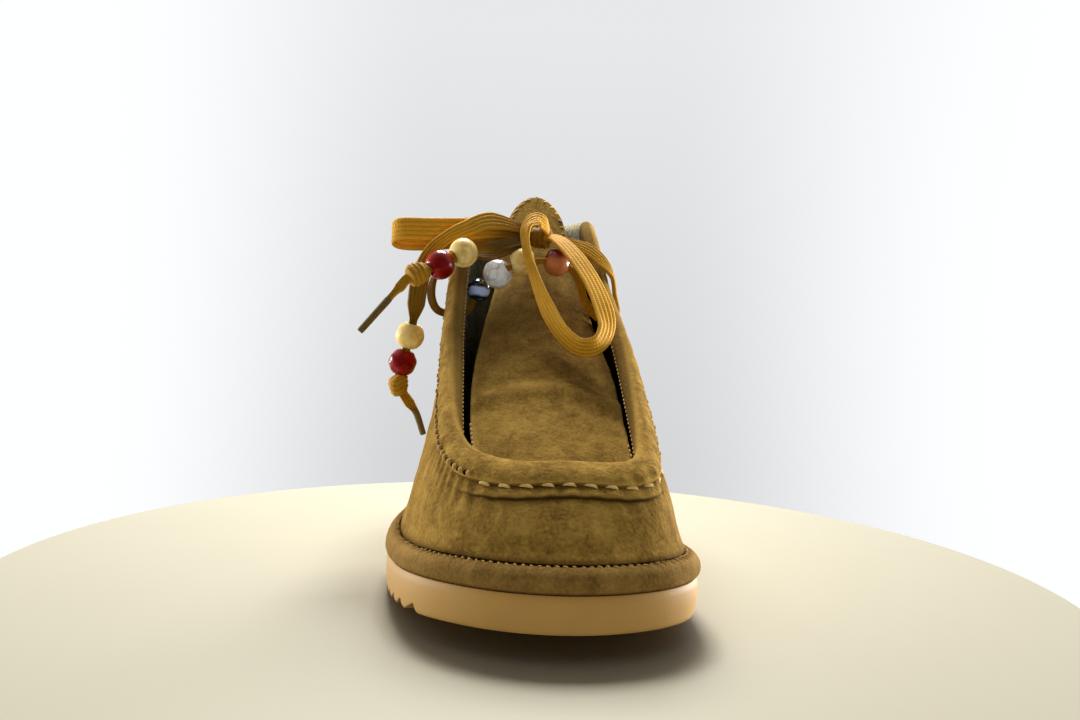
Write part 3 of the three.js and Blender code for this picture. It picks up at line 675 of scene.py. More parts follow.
def banded_glass(tree, where, body, band, middle, spread):
    """Lampwork glass: deep colour, polished, with a dark band of its own or a pale painted reflection across
    it.
    """
    wave = 5 * MM
    wander = add_node(tree, "TexNoise", {"Vector": where, "Scale": grains(6), "Detail": 4})
    high = add_node(tree, "SeparateXYZ", {0: where}, 2)
    wavy = add_node(tree, "Math", {0: wander, 1: wave, 2: high}, operation="MULTIPLY_ADD")
    off = add_node(tree, "Math", {0: wavy, 1: middle * MM + wave / 2}, operation="SUBTRACT")
    away = add_node(tree, "Math", {0: off}, operation="ABSOLUTE")
    soft = add_node(tree, "MapRange", {0: away, 1: spread * MM * 0.5, 2: spread * MM, 3: 1.0, 4: 0.0})
    return {
        "Base Color": add_node(tree, "Mix", {0: soft, 6: shade(body), 7: shade(band)}, 2, data_type="RGBA"),
        "Roughness": 0.08, "IOR": 1.5, "Coat Weight": 0.4, "Coat Roughness": 0.05,
    }


def shrunk_film(tree, where, colour):
    """Acetate film, shrunk on the lace's end: dark, smooth and a little glossy, with fine wrinkles."""
    tones = shade(colour, 0.6), shade(colour, 1.4)
    sockets = {"Roughness": 0.35, "IOR": 1.48}
    return mottled(tree, where, tones, {"Scale": grains(2), "Detail": 4}, sockets, (0.3, 0.3))


def painted_board(tree, where, colour):
    """Board, sprayed matt: pale and even, with a slight satin."""
    tones = shade(colour, 0.97), shade(colour)
    sockets = {"Roughness": 0.55, "Specular IOR Level": 0.3}
    return mottled(tree, where, tones, {"Scale": grains(60), "Detail": 2}, sockets)


def length_value(name, description, default):
    return bpy.props.FloatProperty(
        name=name, description=description, default=default, unit="LENGTH", precision=5
    )


def colour_value(name, description, hex_colour):
    return bpy.props.FloatVectorProperty(
        name=name, description=description, default=linear(hex_colour), size=3, subtype="COLOR", min=0, max=1
    )


class ShoeSizes(bpy.types.PropertyGroup):
    """Sizes of the finish that a user may change."""

    toe_stitch: length_value("Toe stitch", "Spacing of the heavy stitches on the toe seam", 0.0066)
    feather_stitch: length_value("Feather stitch", "Spacing of the small stitches on the rand", 0.0024)
    side_stitch: length_value("Side stitch", "Spacing of the small stitches along the cuff", 0.0034)
    throat_stitch: length_value("Throat stitch", "Spacing of the small stitches inside the cuff", 0.0023)
    tongue_stitch: length_value("Tongue stitch", "Spacing of the stitches over the tongue's edge", 0.0042)
    nap: length_value("Nap", "Size of the suede's fibre clumps, drawn coarse enough to show", 0.0011)
    cloud: length_value("Cloud", "Size of the light and dark patches in the suede", 0.017)
    curl: length_value("Curl", "Size of the fleece's curls", 0.0034)
    knit: length_value("Knit", "Height of one stitch of the lace", 0.0012)
    ribs: bpy.props.IntProperty(name="Ribs", description="Ribs along the lace", default=5, min=2, max=12)
    crease: length_value("Crease", "Depth of the creases across the tongue", 0.0011)


class ShoeColours(bpy.types.PropertyGroup):
    """Colours of the finish that a user may change."""

    suede_dark: colour_value("Suede, nap down", "Darker side of the suede's nap", "64471b")
    suede_light: colour_value("Suede, nap up", "Lighter side of the suede's nap", "a6843d")
    rand_dark: colour_value("Rand, nap down", "Darker side of the rand's nap", "5f451c")
    rand_light: colour_value("Rand, nap up", "Lighter side of the rand's nap", "8c6d39")
    foam: colour_value("Foam", "Foam of the sole", "b08848")
    fleece: colour_value("Fleece", "Lining at the collar", "b9b092")
    # The throat colour is painted shade deep inside the lining.
    throat: colour_value("Throat", "Lining down in the throat", "1c1307")
    lace: colour_value("Lace", "Flat lace", "e0a52b")
    thread: colour_value("Thread", "Heavy sewing thread", "d8b56e")
    fine_thread: colour_value("Fine thread", "Fine sewing thread", "b58d4c")
    # The needle holes' colour is painted shade.
    pierced: colour_value("Pierced suede", "Needle holes in the suede", "1e1407")
    film: colour_value("Film", "Tips of the lace", "6a562a")
    cream_low: colour_value("Cream, low", "Darker cream of the beads", "d6b258")
    cream_high: colour_value("Cream, high", "Lighter cream of the beads", "f5de94")
    red_low: colour_value("Red, low", "Darker red of the beads", "560201")
    red_high: colour_value("Red, high", "Lighter red of the beads", "a80a04")
    clear: colour_value("Clear glass", "Crackled bead", "fbfbfa")
    blue: colour_value("Blue glass", "Dark blue bead", "16222e")
    # The blue bead's pale band is a painted reflection.
    blue_reflection: colour_value("Blue band", "Band on the blue bead", "bcd4ff")
    amber: colour_value("Amber glass", "Amber bead", "b06e42")
    amber_band: colour_value("Amber band", "Red part of the amber bead", "76141a")
    board: colour_value("Board", "Round board under the shoe", "c3bda6")


def settings():
    return bpy.context.scene.shoe_sizes, bpy.context.scene.shoe_colours


def finish(name):
    """The named material, made at its first use: one shader, with the sockets that its maker gives."""
    known = bpy.data.materials.get(name)
    if known:
        return known
    sizes, colours = settings()
    makers = {
        "napped_cowhide_suede": (suede, colours.suede_dark, colours.suede_light, sizes),
        "napped_rand_suede": (suede, colours.rand_dark, colours.rand_light, sizes),
        "moulded_EVA_foam": (moulded_foam, colours.foam),
        "clipped_sheep_fleece": (curly_fleece, colours.fleece, colours.throat, sizes.curl / MM),
        "rib_knitted_cotton": (knitted_lace, colours.lace, sizes.knit, sizes.ribs),
        "waxed_twisted_thread": (twisted_thread, colours.thread),
        "fine_twisted_thread": (twisted_thread, colours.fine_thread),
        "pierced_suede": (pierced_suede, colours.pierced),
        "shrunk_acetate_film": (shrunk_film, colours.film),
        "tumbled_cream_resin": (cast_resin, colours.cream_low, colours.cream_high, 0.42, 5),
        "polished_red_resin": (cast_resin, colours.red_low, colours.red_high, 0.2, 9),
        "crackled_clear_glass": (crackled_glass, colours.clear),
        "lampwork_blue_glass": (banded_glass, colours.blue, colours.blue_reflection, 114.0, 2.3),
        "lampwork_amber_glass": (banded_glass, colours.amber, colours.amber_band, 132.4, 4.2),
        "sprayed_board": (painted_board, colours.board),
    }
    maker, *values = makers[name]
    material = bpy.data.materials.new(name)
    material.use_nodes = True
    tree = material.node_tree
    tree.nodes.clear()
    where = add_node(tree, "TexCoord", out="Object")
    shader = add_node(tree, "BsdfPrincipled", maker(tree, where, *values))
    add_node(tree, "OutputMaterial", {"Surface": shader})
    return material


def ribbon(rows, ribs):
    """Flat ribbed lace along a route: points in rows of sections, places on the lace and the middle line."""
    rows = np.asarray(rows, float)
    at = np.linspace(0, 1, (len(rows) - 1) * LACE_PER_SPAN + 1)
    middle = spline(rows[:, :3], at, False)
    along = unit(np.gradient(middle, axis=0))
    form = np.array([np.interp(at, np.linspace(0, 1, len(rows)), column) for column in rows[:, 3:].T]).T
    side = unit(np.cross(along, form[:, 2:]))
    out = np.cross(side, along)
    over = np.linspace(1, -1, LACE_ACROSS)
    section = np.concatenate([over, over[-2:0:-1]])
    face = np.where(np.arange(len(section)) < LACE_ACROSS, 1, -1)
    wide, thick = form[:, :1], form[:, 1:2]
    deep = 0.14 + 0.2 * smooth(-wide, -7, -3.5)
    crown = np.sqrt(np.clip(1 - np.abs(section) ** 6, 0, 1))
    rib = 1 - deep * (1 + np.cos(np.pi * ribs * (section + 1)))
    high = face * crown * rib * thick / 2
    across = side[:, None] * (section * wide / 2)[..., None]
    points = middle[:, None] + across + out[:, None] * high[..., None]
    return points, stack((section + 1) / 2, run_along(middle)[:, None] * MM), middle


def lace_piece(name, rows, stands_for):
    """A stretch of lace as a piece, and its middle line in metres."""
    sizes, _ = settings()
    points, weave, middle = ribbon(rows, sizes.ribs)
    count, around = points.shape[:2]
    # Painted shade along the lace, from the table of lace shade.
    painted_shade = LACE_SHADE[name]
    shade_along = np.interp(np.linspace(0, 1, count), np.linspace(0, 1, len(painted_shade)), painted_shade)
    marks = {"painted_shade": np.repeat(shade_along, around)}
    faces = tube(count, around)
    made = make_piece(name, points, faces, "rib_knitted_cotton", "lace", stands_for, marks, weave)
    return made, (middle * MM).tolist()


def laid(local, axis, middle):
    """Points of a form made upright, turned along an axis and moved to its place."""
    spin = np.array(Vector((0, 0, 1)).rotation_difference(Vector(axis)).to_matrix())
    return local @ spin.T + middle


def wrapped_knot(name, middle, axis, half_long, girths, stands_for):
    """A knot: one broad turn of lace round the strands, pulled askew, with its ribs running round it."""
    sizes, _ = settings()
    along = np.linspace(-1, 1, KNOT_ALONG)
    turn = circle(KNOT_AROUND)[:, None]
    round_off = np.sqrt(np.clip(1 - np.abs(along) ** 4, 0, 1))
    ribs = 1 - 0.045 * (1 + np.cos(np.pi * sizes.ribs * (along + 1)))
    pull = 1 + 0.08 * np.sin(2 * turn + 2.2 * along) + 0.05 * np.sin(3 * turn - along)
    girth = round_off * ribs * pull
    lean = 0.13 * half_long * np.sin(turn)
    x, y = girths[0] * girth * np.cos(turn), girths[1] * girth * np.sin(turn)
    points = laid(stack(x, y, half_long * along + lean), axis, middle)
    weave = stack((along + 1) / 2, turn * girths[0] * MM)
    faces = quads(KNOT_AROUND, KNOT_ALONG, round_rows=True)
    # Painted shade, even over the whole knot.
    marks = {"painted_shade": np.full(points.shape[:2], LACE_SHADE[name])}
    return make_piece(name, points, faces, "rib_knitted_cotton", "lace", stands_for, marks, weave)


def axis_of(rows, row):
    rows = np.asarray(rows, float)
    return unit(slope(rows[:, :3], row / (len(rows) - 1), False, FINE_STEP))


def bead(middle, axis, radius, form):
    """A ball with a rounded bore along the lace; form gives its cut."""
    lip = math.acos(BORE / radius) - 0.12
    tilt = np.linspace(-lip, lip, BEAD_ALONG)
    ball = stack(radius * np.cos(tilt), radius * np.sin(tilt))
    end = ball[-1, 1]
    rim = (0.15, 0.985), (0, 0.9), (0, 0), (0, -0.9), (0.15, -0.985)
    hole = [(BORE + wider, end * share) for wider, share in rim]
    wide, high = np.vstack([ball, hole]).T
    turn = circle(BEAD_AROUND)[:, None]
    local = stack(wide * np.cos(turn), wide * np.sin(turn), high)
    return laid(local * form(local, radius)[..., None], axis, middle)


def tumbled(local, radius):
    """Hardly out of round."""
    return 1 + 0.02 * lumps(local, 5, 3)


def carved(local, radius):
    """Petals cut round the ball."""
    turn = np.arctan2(local[..., 1], local[..., 0])
    lift = local[..., 2] / radius
    petals = np.abs(np.sin(2.5 * turn + 3.5 * lift)) * np.abs(np.sin(3 * lift - 1.5 * turn))
    return 1 - 0.05 * (1 - petals) * smooth(0.82 - np.abs(lift), 0, 0.2)


def faceted(local, radius):
    """Flats cut all round."""
    k = np.arange(FLATS) + 0.5
    high = 1 - 2 * k / FLATS
    spin = np.pi * (1 + 5**0.5) * k
    flats = stack(np.sqrt(1 - high**2) * np.cos(spin), np.sqrt(1 - high**2) * np.sin(spin), high)
    facing = (unit(local) @ flats.T).max(-1)
    return np.minimum(1, FLAT_REACH / facing)


FORMS = {"bead_hanging_red": carved, "bead_clear": faceted}


def seat(made, points):
    """Nearest places on a made piece and the ways out of it there."""
    found = [made.closest_point_on_mesh(Vector(p) * MM) for p in points]
    return np.array([f[1] for f in found]) / MM, np.array([f[2] for f in found])


def many_tubes(name, points, look):
    """One piece of many small closed tubes."""
    count, rows, columns = points.shape[:3]
    faces = [face for i in range(count) for face in tube(rows, columns, i * rows * columns)]
    return make_piece(name, points, faces, look)


def stitch_row(name, middles, ways, outs, long, wide, high, thread):
    """Separate stitches, each a flattened thread that comes up, lies on the surface and goes down again."""
    arc = np.linspace(-1, 1, STITCH_ALONG)
    around = circle(STITCH_AROUND)
    ways, outs = unit(ways), unit(outs)
    sides = unit(np.cross(ways, outs))
    outs = np.cross(sides, ways)
    long, wide, high = (np.broadcast_to(size, len(middles))[:, None] for size in (long, wide, high))
    bow = high * (0.9 * (1 - arc**4) - 0.5)
    body = np.sqrt(np.clip(1.12 - arc**6, 0, 1)) / 2
    line = middles[:, None] + ways[:, None] * (arc * long / 2)[..., None] + outs[:, None] * bow[..., None]
    flat = sides[:, None] * (wide * np.cos(around))[..., None]
    flat = flat + outs[:, None] * (high * np.sin(around))[..., None]
    return many_tubes(name, line[:, :, None] + flat[:, None] * body[:, None, None], thread)


def needle_holes(name, middles, outs, radius):
    """Small dimples in painted shade where the thread goes through the suede."""
    around = circle(STITCH_AROUND)[:, None]
    outs = unit(outs)
    sides = unit(np.cross(outs, (0.3, 0.2, 0.9)))
    others = np.cross(outs, sides)
    radius = np.broadcast_to(radius, len(middles))[:, None, None]
    ring = sides[:, None] * np.cos(around) + others[:, None] * np.sin(around)
    rings = [
        middles[:, None] + ring * radius * wide + outs[:, None] * radius * high
        for wide, high in ((1.0, -0.25), (0.75, 0.1), (0.3, 0.16))
    ]
    return many_tubes(name, np.stack(rings, 1), "pierced_suede")


def stitch_places(line, pitch):
    """Indices of the points of a fine line that are about a pitch apart, and the ways the line runs there."""
    run = run_along(line)
    pick = np.searchsorted(run, np.arange(pitch / 2, run[-1], pitch))
    pick = pick[pick < len(line) - LINE_END]
    return pick, unit(line[pick + LINE_AHEAD] - line[pick])


def row_on(made, lines, pitch):
    """Middles of stitches along lines on a made piece, the ways they run and the ways out."""
    rows = []
    for line in lines:
        pick, ways = stitch_places(line, pitch)
        middles, outs = seat(made, line[pick])
        rows.append((middles, ways, outs))
    return [np.vstack(part) for part in zip(*rows)]


class Registers:
    """Common part of the operators."""

    bl_options = {"REGISTER", "UNDO"}


class SHOE_OT_stage(Registers, bpy.types.Operator):
    """Camera at the photograph's angle, round pale board and soft studio light"""

    bl_idname = "shoe.stage"
    bl_label = "Stage"

    def execute(self, context):
        scene = context.scene
        scene.view_settings.view_transform = "Standard"
        look = Vector(LOOK).normalized()
        self.camera(scene, look)
        board = self.board(scene, Vector(EYE) + TABLE_AHEAD * look)
        self.lamps(scene, board)
        self.room(scene)
        return {"FINISHED"}

    def camera(self, scene, look):
        right = look.cross(Vector((0, 0, 1))).normalized()
        up = right.cross(look)
        roll = math.radians(ROLL)
        cam_x = math.cos(roll) * right - math.sin(roll) * up
        cam_y = math.sin(roll) * right + math.cos(roll) * up
        turn = Matrix((cam_x, cam_y, -look)).transposed().to_4x4()
        camera = bpy.data.objects.new("photo_camera", bpy.data.cameras.new("photo_camera"))
        scene.collection.objects.link(camera)
        camera.matrix_world = Matrix.Translation(Vector(EYE) * MM) @ turn
        camera.data.lens, camera.data.sensor_width = LENS, SENSOR
        camera.data.clip_start = 0.01
        scene.camera = camera

    def board(self, scene, middle):
        """Round board with a slightly rounded edge."""
        far, edge, hub = TABLE_RADIUS, 1, 0.5
        rim = np.array([(far, -TABLE_THICK), (far, -edge), (far - edge, 0), (hub, 0)])
        turn = circle(TABLE_AROUND)[:, None]
        points = stack(middle.x + rim[:, 0] * np.cos(turn), middle.y + rim[:, 0] * np.sin(turn), rim[:, 1])
        points = points.reshape(-1, 3)
        top = list(range(len(rim) - 1, len(points), len(rim)))
        faces = quads(TABLE_AROUND, len(rim), round_rows=True) + [top]
        mesh = bpy.data.meshes.new("board")
        mesh.from_pydata((points * MM).tolist(), [], faces)
        mesh.shade_smooth()
        mesh.materials.append(finish("sprayed_board"))
        board = bpy.data.objects.new("board", mesh)
        sharpen(board, 30)
        scene.collection.objects.link(board)
        return board

    def lamps(self, scene, board):
        """Soft lamps. All but the top one light the shoe only, which leaves deep shade under the toe."""
        flagged = bpy.data.collections.new("kept_off_the_board")
        flagged.objects.link(board)
        flagged.collection_objects[0].light_linking.link_state = "EXCLUDE"
        for name, stand, aim, wide, high, power in LAMPS:
            lamp = bpy.data.lights.new(name, "AREA")
            lamp.shape, lamp.energy = "RECTANGLE", power
            lamp.size, lamp.size_y = wide * MM, high * MM
            lamp_object = bpy.data.objects.new(name, lamp)
            scene.collection.objects.link(lamp_object)
            lamp_object.location = Vector(stand) * MM
            lamp_object.rotation_euler = (Vector(aim) - Vector(stand)).to_track_quat("-Z", "Y").to_euler()
            lamp_object.visible_glossy = name != "lamp_front"
            if name != "lamp_top":
                lamp_object.light_linking.receiver_collection = flagged

    def room(self, scene):
        """White backdrop, dimmer behind the shoe; dim fill for matt things, brighter tent for glossy ones."""
        world = bpy.data.worlds.new("studio")
        world.use_nodes = True
        tree = world.node_tree
        tree.nodes.clear()
        way = add_node(tree, "TexCoord", out="Generated")
        way_x, way_y, way_z = add_node(tree, "SeparateXYZ", {0: way}).node.outputs
        off = add_node(tree, "Math", {0: way_x, 1: LOOK[0]}, operation="SUBTRACT")
        aside = add_node(tree, "Math", {0: off}, operation="ABSOLUTE")
        limits = {0: aside, 1: 0.12, 2: 0.5, 3: 1.0, 4: 0.0}
        behind = add_node(tree, "MapRange", limits, interpolation_type="SMOOTHSTEP")
        low = add_node(tree, "MapRange", {0: way_z, 1: -0.12, 2: 0.38, 3: -0.35, 4: -0.2})
        white = add_node(tree, "Math", {0: behind, 1: low, 2: 1.02}, operation="MULTIPLY_ADD")
        back = add_node(tree, "MapRange", {0: way_y, 1: -0.8, 2: 0.9, 3: 0.04, 4: 0.4})
        height = add_node(tree, "MapRange", {0: way_z, 1: 0.05, 2: 0.6, 3: 0.6, 4: 0.9})
        soft = add_node(tree, "Math", {0: back, 1: height}, operation="MULTIPLY")
        tent = add_node(tree, "MapRange", {0: way_y, 1: -0.8, 2: 0.4, 3: 0.14, 4: 1.0})
        backdrop, fill, mirrored = (
            add_node(tree, "Background", {"Color": shade(linear(colour)), "Strength": strength})
            for colour, strength in (("fcfeff", white), ("ffffff", soft), ("ffffff", tent))
        )
        matt = add_node(tree, "LightPath", out="Is Diffuse Ray")
        cast = add_node(tree, "MixShader", {0: matt, 1: mirrored, 2: fill})
        seen = add_node(tree, "LightPath", out="Is Camera Ray")
        both = add_node(tree, "MixShader", {0: seen, 1: cast, 2: backdrop})
        add_node(tree, "OutputWorld", {"Surface": both})
        scene.world = world


class SHOE_OT_beads(Registers, bpy.types.Operator):
    """Glass and resin beads threaded on the lace"""

    bl_idname = "shoe.beads"
    bl_label = "Beads"

    def execute(self, context):
        for name, route, row, radius, slot in BEADS:
            middle = np.array(route[row][:3])
            points = bead(middle, axis_of(route, row), radius, FORMS.get(name, tumbled))
            faces = quads(*points.shape[:2], round_rows=True, round_columns=True)
            made = make_piece(name + "_cut", points, faces, FINISH_OF[slot], slot, [name])
            if name in FORMS:
                sharpen(made, 18)
        return {"FINISHED"}


class SHOE_OT_bow(Registers, bpy.types.Operator):
    """The bow: knot, two loops and two beaded ends"""

    bl_idname = "shoe.bow"
    bl_label = "Bow"

    def execute(self, context):
        half_long, *girths = np.array(KNOT_HALF) * KNOT_DRAWN
        knot = wrapped_knot("bow_knot", KNOT_MIDDLE, (1, 0, 0), half_long, girths[::-1], ["lace_knot"])
        for name, rows, long, stands_for in (
            ("bow_loop_outer", LOOP_OUTER, 0.127, "lace_loop_outer"),
            ("bow_loop_inner", LOOP_INNER, 0.163, "lace_loop_inner"),
        ):
            loop, path = lace_piece(name, rows, [stands_for])
        for side, rows, long, wide in (
            ("hanging", END_HANGING, 0.136, 0.009),
            ("upper", END_UPPER, 0.093, 0.005),
        ):
            row = STOPPER_ROW[side]
            middle, lie = np.array(rows[row][:3]), axis_of(rows, row)
            stopper = wrapped_knot(
                "bow_stopper_" + side, middle, lie, STOPPER_HALF, STOPPER_GIRTHS, ["stopper_" + side]
            )
            tip = self.film("lace_film_" + side, rows, TIP_ROW[side])
            end, path = lace_piece("bow_end_" + side, rows, ["lace_end_" + side, "lace_tip_" + side])
        return {"FINISHED"}

    def film(self, name, rows, first):
        """The stiff tip: film shrunk round the rolled end of the lace."""
        rows = np.asarray(rows, float)[:, :3]
        line = spline(rows, np.linspace(first / (len(rows) - 1), 1, FILM_ALONG), False)
        line = np.vstack([line, line[-1] + 0.6 * unit(line[-1] - line[-2])])
        along = unit(np.gradient(line, axis=0))
        line = np.vstack([line[:1], line, line[-1:]])
        along = np.vstack([along[:1], along, along[-1:]])
        girth = np.array([0.01, 1.2, *np.linspace(1.5, 1.35, len(line) - 4), 1.2, 0.01])
        turn = circle(FILM_AROUND)[:, None]
        side = unit(np.cross(along, (0, 0.3, 1)))
        other = np.cross(side, along)
        ring = side[:, None] * np.cos(turn) + other[:, None] * np.sin(turn)
        points = line[:, None] + ring * girth[:, None, None]
        faces = quads(len(line), len(turn), round_columns=True)
        made = make_piece(name, points, faces, "shrunk_acetate_film", "lace")
        sharpen(made, 40)
        return made


class SHOE_OT_crossing(Registers, bpy.types.Operator):
    """The lace from the knot over the cuff, through the eyelets and across the tongue"""

    bl_idname = "shoe.crossing"
    bl_label = "Lace through the eyelets"

    def execute(self, context):
        lace_piece("lace_bar", CROSSING, ["lace_crossing"])
        return {"FINISHED"}


class SHOE_OT_sole(Registers, bpy.types.Operator):
    """Foam sole with its toe spring, arch and saw-tooth tread"""

    bl_idname = "shoe.sole"
    bl_label = "Sole"

    AROUND, ACROSS = 1080, 25
    # Side of the foam from top to bottom: inset and share of the height.
    SIDE = [
        (0.9, 1.0), (0.45, 0.95), (0.1, 0.8), (0.0, 0.6), (0.1, 0.4), (0.3, 0.28), (0.4, 0.22), (0.5, 0.17),
        (0.6, 0.12), (0.7, 0.08), (0.9, 0.04), (1.2, 0.0),
    ]

    def bottom(self, s):
        """Height of the tread: saw-tooth grooves, steep at their front, with flat lands between them."""
        into = (s - TREAD_FROM + GROOVE_WIDE / 2) % TREAD_PITCH
        rise = np.minimum(into / GROOVE_STEEP, (GROOVE_WIDE - into) / (GROOVE_WIDE - GROOVE_STEEP))
        inside = (s > TREAD_FROM - GROOVE_WIDE / 2) & (s < TREAD_TO + GROOVE_WIDE / 2)
        return underside(s) + np.where(inside, GROOVE_DEEP * np.clip(rise, 0, 1), 0)

    def execute(self, context):
        around, half = self.AROUND, self.AROUND // 2
        inset, share = np.array(self.SIDE).T
        x, s = outline(ring_places(around), inset[None, :])
        low, high = underside(s), foam_top(s)
        side = place(x, s, np.maximum(low + share * (high - low), self.bottom(s)))
        over = np.linspace(0, 1, self.ACROSS)[1:-1]
        outer, inner = side[1:half, -1], side[:half:-1, -1]
        floor = outer[:, None] + (inner - outer)[:, None] * over[:, None]
        floor[..., 2] = self.bottom(floor[..., 1] + LENGTH / 2)
        points = np.vstack([side.reshape(-1, 3), floor.reshape(-1, 3)])
        columns = len(share)
        faces = quads(around, columns, round_rows=True)
        start, edge = around * columns, columns - 1
        rows = []
        for i in range(1, half):
            inside = list(range(start + (i - 1) * len(over), start + i * len(over)))
            rows.append([i * columns + edge, *inside, (around - i) * columns + edge])
        for before, after in zip(rows, rows[1:]):
            faces += [[a, b, d, c] for a, b, c, d in zip(before, before[1:], after, after[1:])]
        faces += [[edge, *rows[0]], [half * columns + edge, *rows[-1][::-1]]]
        lids = [[i, i + 1, around - i - 1, around - i] for i in range(1, half - 1)]
        lids += [[0, 1, around - 1], [half, half + 1, half - 1]]
        faces += [[i * columns for i in lid] for lid in lids]
        sole = make_piece("foam_sole", points, faces, "moulded_EVA_foam", "foam", ["outsole"])
        sharpen(sole, 40)
        return {"FINISHED"}


class SHOE_OT_rand(Registers, bpy.types.Operator):
    """Suede band rolled round the footbed's edge"""

    bl_idname = "shoe.rand"
    bl_label = "Rand"

    AROUND, ROLLED = 900, 34
    # The roll from below outside to inside: inset and height over the foam.
    ROLL = [
        (0.9, 0.35), (-0.2, 1.3), (-0.6, 3.2), (-0.1, 5.2), (1.2, 6.7), (2.7, 7.45), (3.7, 7.35), (4.3, 6.9),
        (5.4, 7.3),
    ]

    def execute(self, context):
        t = ring_places(self.AROUND)
        inset, high = spline(self.ROLL, np.linspace(0, 1, self.ROLLED), False).T
        run = run_along(on_foam(t[:, 0], 3.0, 7.5))[:, None]
        from_toe = stations_from_toe(t)
        gathers = bell(from_toe, 2.4, 1.5) * 0.22 + 0.06
        pleat = np.sin(2 * np.pi * run / 3.1 + 1.5 * np.sin(run / 7)) * gathers * smooth(inset, 0.6, 3.0)
        points = on_foam(t, inset[None, :], high[None, :] + pleat)
        swell = 0.35 * lumps(points, 16, 1) + 0.12 * lumps(points, 5, 2)
        points = on_foam(t, inset[None, :] - swell * smooth(high, 0.3, 3), high[None, :] + pleat)
        # Paler: a painted highlight along the roll's rounded edges, random paler patches and paler toe
        # corners.
        rand_paler = 0.12 * bell(inset, 1.2, 1.0) + 0.1 * np.clip(lumps(points, 9, 4), 0, 1)
        rand_paler += 0.22 * bell(from_toe, 2.4, 0.9)
        # Painted shade in the stitch groove on top and along the roll's foot by the foam.
        rand_shade = 0.7 * bell(inset, 4.4, 0.6) + 0.5 * bell(high, 0.3, 0.7) * (inset < 1.5)
        rand_shade = np.tile(rand_shade, (self.AROUND, 1))
        hidden = on_foam(t, np.array([[RAND_INNER, RAND_INNER]]), np.array([[7.3, 0.35]]))
        points = np.concatenate([points, hidden], 1)
        marks = {name: np.pad(mark, ((0, 0), (0, 2))) for name, mark in (("pale", rand_paler), ("painted_shade", rand_shade))}
        faces = quads(*points.shape[:2], True, True)
        make_piece("rolled_rand", points, faces, "napped_rand_suede", "suede", ["rand"], marks)
        return {"FINISHED"}


class SHOE_OT_upper(Registers, bpy.types.Operator):
    """Suede upper with the raised toe seam, its gathers and the lace holes"""

    bl_idname = "shoe.upper"
    bl_label = "Upper"

    AROUND, LOWER_ROWS = 720, 34
    # The raised seam at the toe: distance down from the ridge and height over the wall.
    LIP = [
        (22, 0), (18.4, 0.0), (17.5, -0.05), (17.2, -0.2), (17.05, 0.15), (16.95, 0.7), (16.7, 0.95),
        (15.9, 1.05), (15.0, 1.1), (14.2, 1.05), (13.6, 0.85), (13.1, 0.6), (12.5, 0.4), (11.5, 0.2),
        (10.5, 0), (8.5, 0), (6, 0), (3, 0),
    ]

    def execute(self, context):
        t = ring_places(self.AROUND)
        drop, lip = np.array(self.LIP).T
        seam, run, tuck = toe_seam(t)
        upper_v = v_below(t, drop)
        lower_v = upper_v[:, :1] * (np.linspace(0, 1, self.LOWER_ROWS)[:-1] ** 0.9)
        v = np.concatenate([lower_v, upper_v], 1)
        flat = wall(t, v)
        fall = run_down(flat) + drop[-1]
        from_toe = stations_from_toe(t)
        out = np.concatenate([np.zeros_like(lower_v), seam * lip * (1 + 0.10 * tuck)], 1)
        corner = bell(from_toe, 1.9, 0.75)
        gather = np.sin(2 * np.pi * run / 5.1 + 0.8 * np.sin(run / 9))
        out += 0.42 * corner * gather * bell(fall, 16, 6) * smooth(fall, 11, 14)
        out += 0.25 * seam * tuck * bell(fall, 19.5, 3)
        settle = smooth(v, 0.0, 0.2)
        out += settle * (0.75 * lumps(flat, 30, 5) + 0.4 * lumps(flat, 12, 6) + 0.12 * lumps(flat, 4.5, 7))
        flex = bell(from_toe, 3.1, 0.8) * bell(v, 0.5, 0.28)
        out += -0.7 * flex * (0.5 + 0.5 * np.cos(2 * np.pi * (flat[..., 1] + 0.35 * flat[..., 2]) / 14))
        out += 0.5 * bell(v, 0.02, 0.05)
        aside = np.abs(flat[..., 0] - flat[self.AROUND // 2, :, 0]) + LENGTH * (flat[..., 1] < 0)
        strip = STRIP_HIGH * smooth(STRIP_HALF - aside, -0.4, 0.6) - 0.35 * bell(aside, STRIP_HALF + 0.5, 0.8)
        out += strip * smooth(fall, 12, 14)
        points = np.concatenate([off_wall(t, v, out), off_wall(t, v, out - SUEDE_THICK)[:, ::-1]], 1)
        # Painted highlight along the lip's edge and on the crests of the gathers at the corner, and pale
        # blots in the suede.
        pale = 0.5 * seam * bell(fall, 16.4, 0.5) + 0.2 * corner * np.clip(gather, 0, 1) * bell(fall, 16, 4)
        blots = smooth(lumps(flat, 7, 21) + 0.5 * lumps(flat, 2.6, 22), 0.1, 0.7)
        pale += blots * (0.12 + 0.3 * bell(flat[..., 0], 12, 12) * bell(fall, 25, 7) * seam)
        # Painted shade in the groove under the lip, at the foot of the wall, under the cuff's edge and beside
        # the back strip.
        painted_shade = 1.0 * seam * bell(fall, 17.15, 0.4) + 0.6 * bell(v, 0, 0.03) + 0.5 * bell(fall, 12.3, 0.5)
        painted_shade += 0.6 * bell(aside, STRIP_HALF + 0.3, 0.6)
        marks = {"pale": both_sides(pale), "painted_shade": both_sides(painted_shade)}
        faces = quads(*points.shape[:2], True, True)
        upper = make_piece("suede_upper", points, faces, "napped_cowhide_suede", "suede", ["upper"], marks)
        punch(upper)
        return {"FINISHED"}


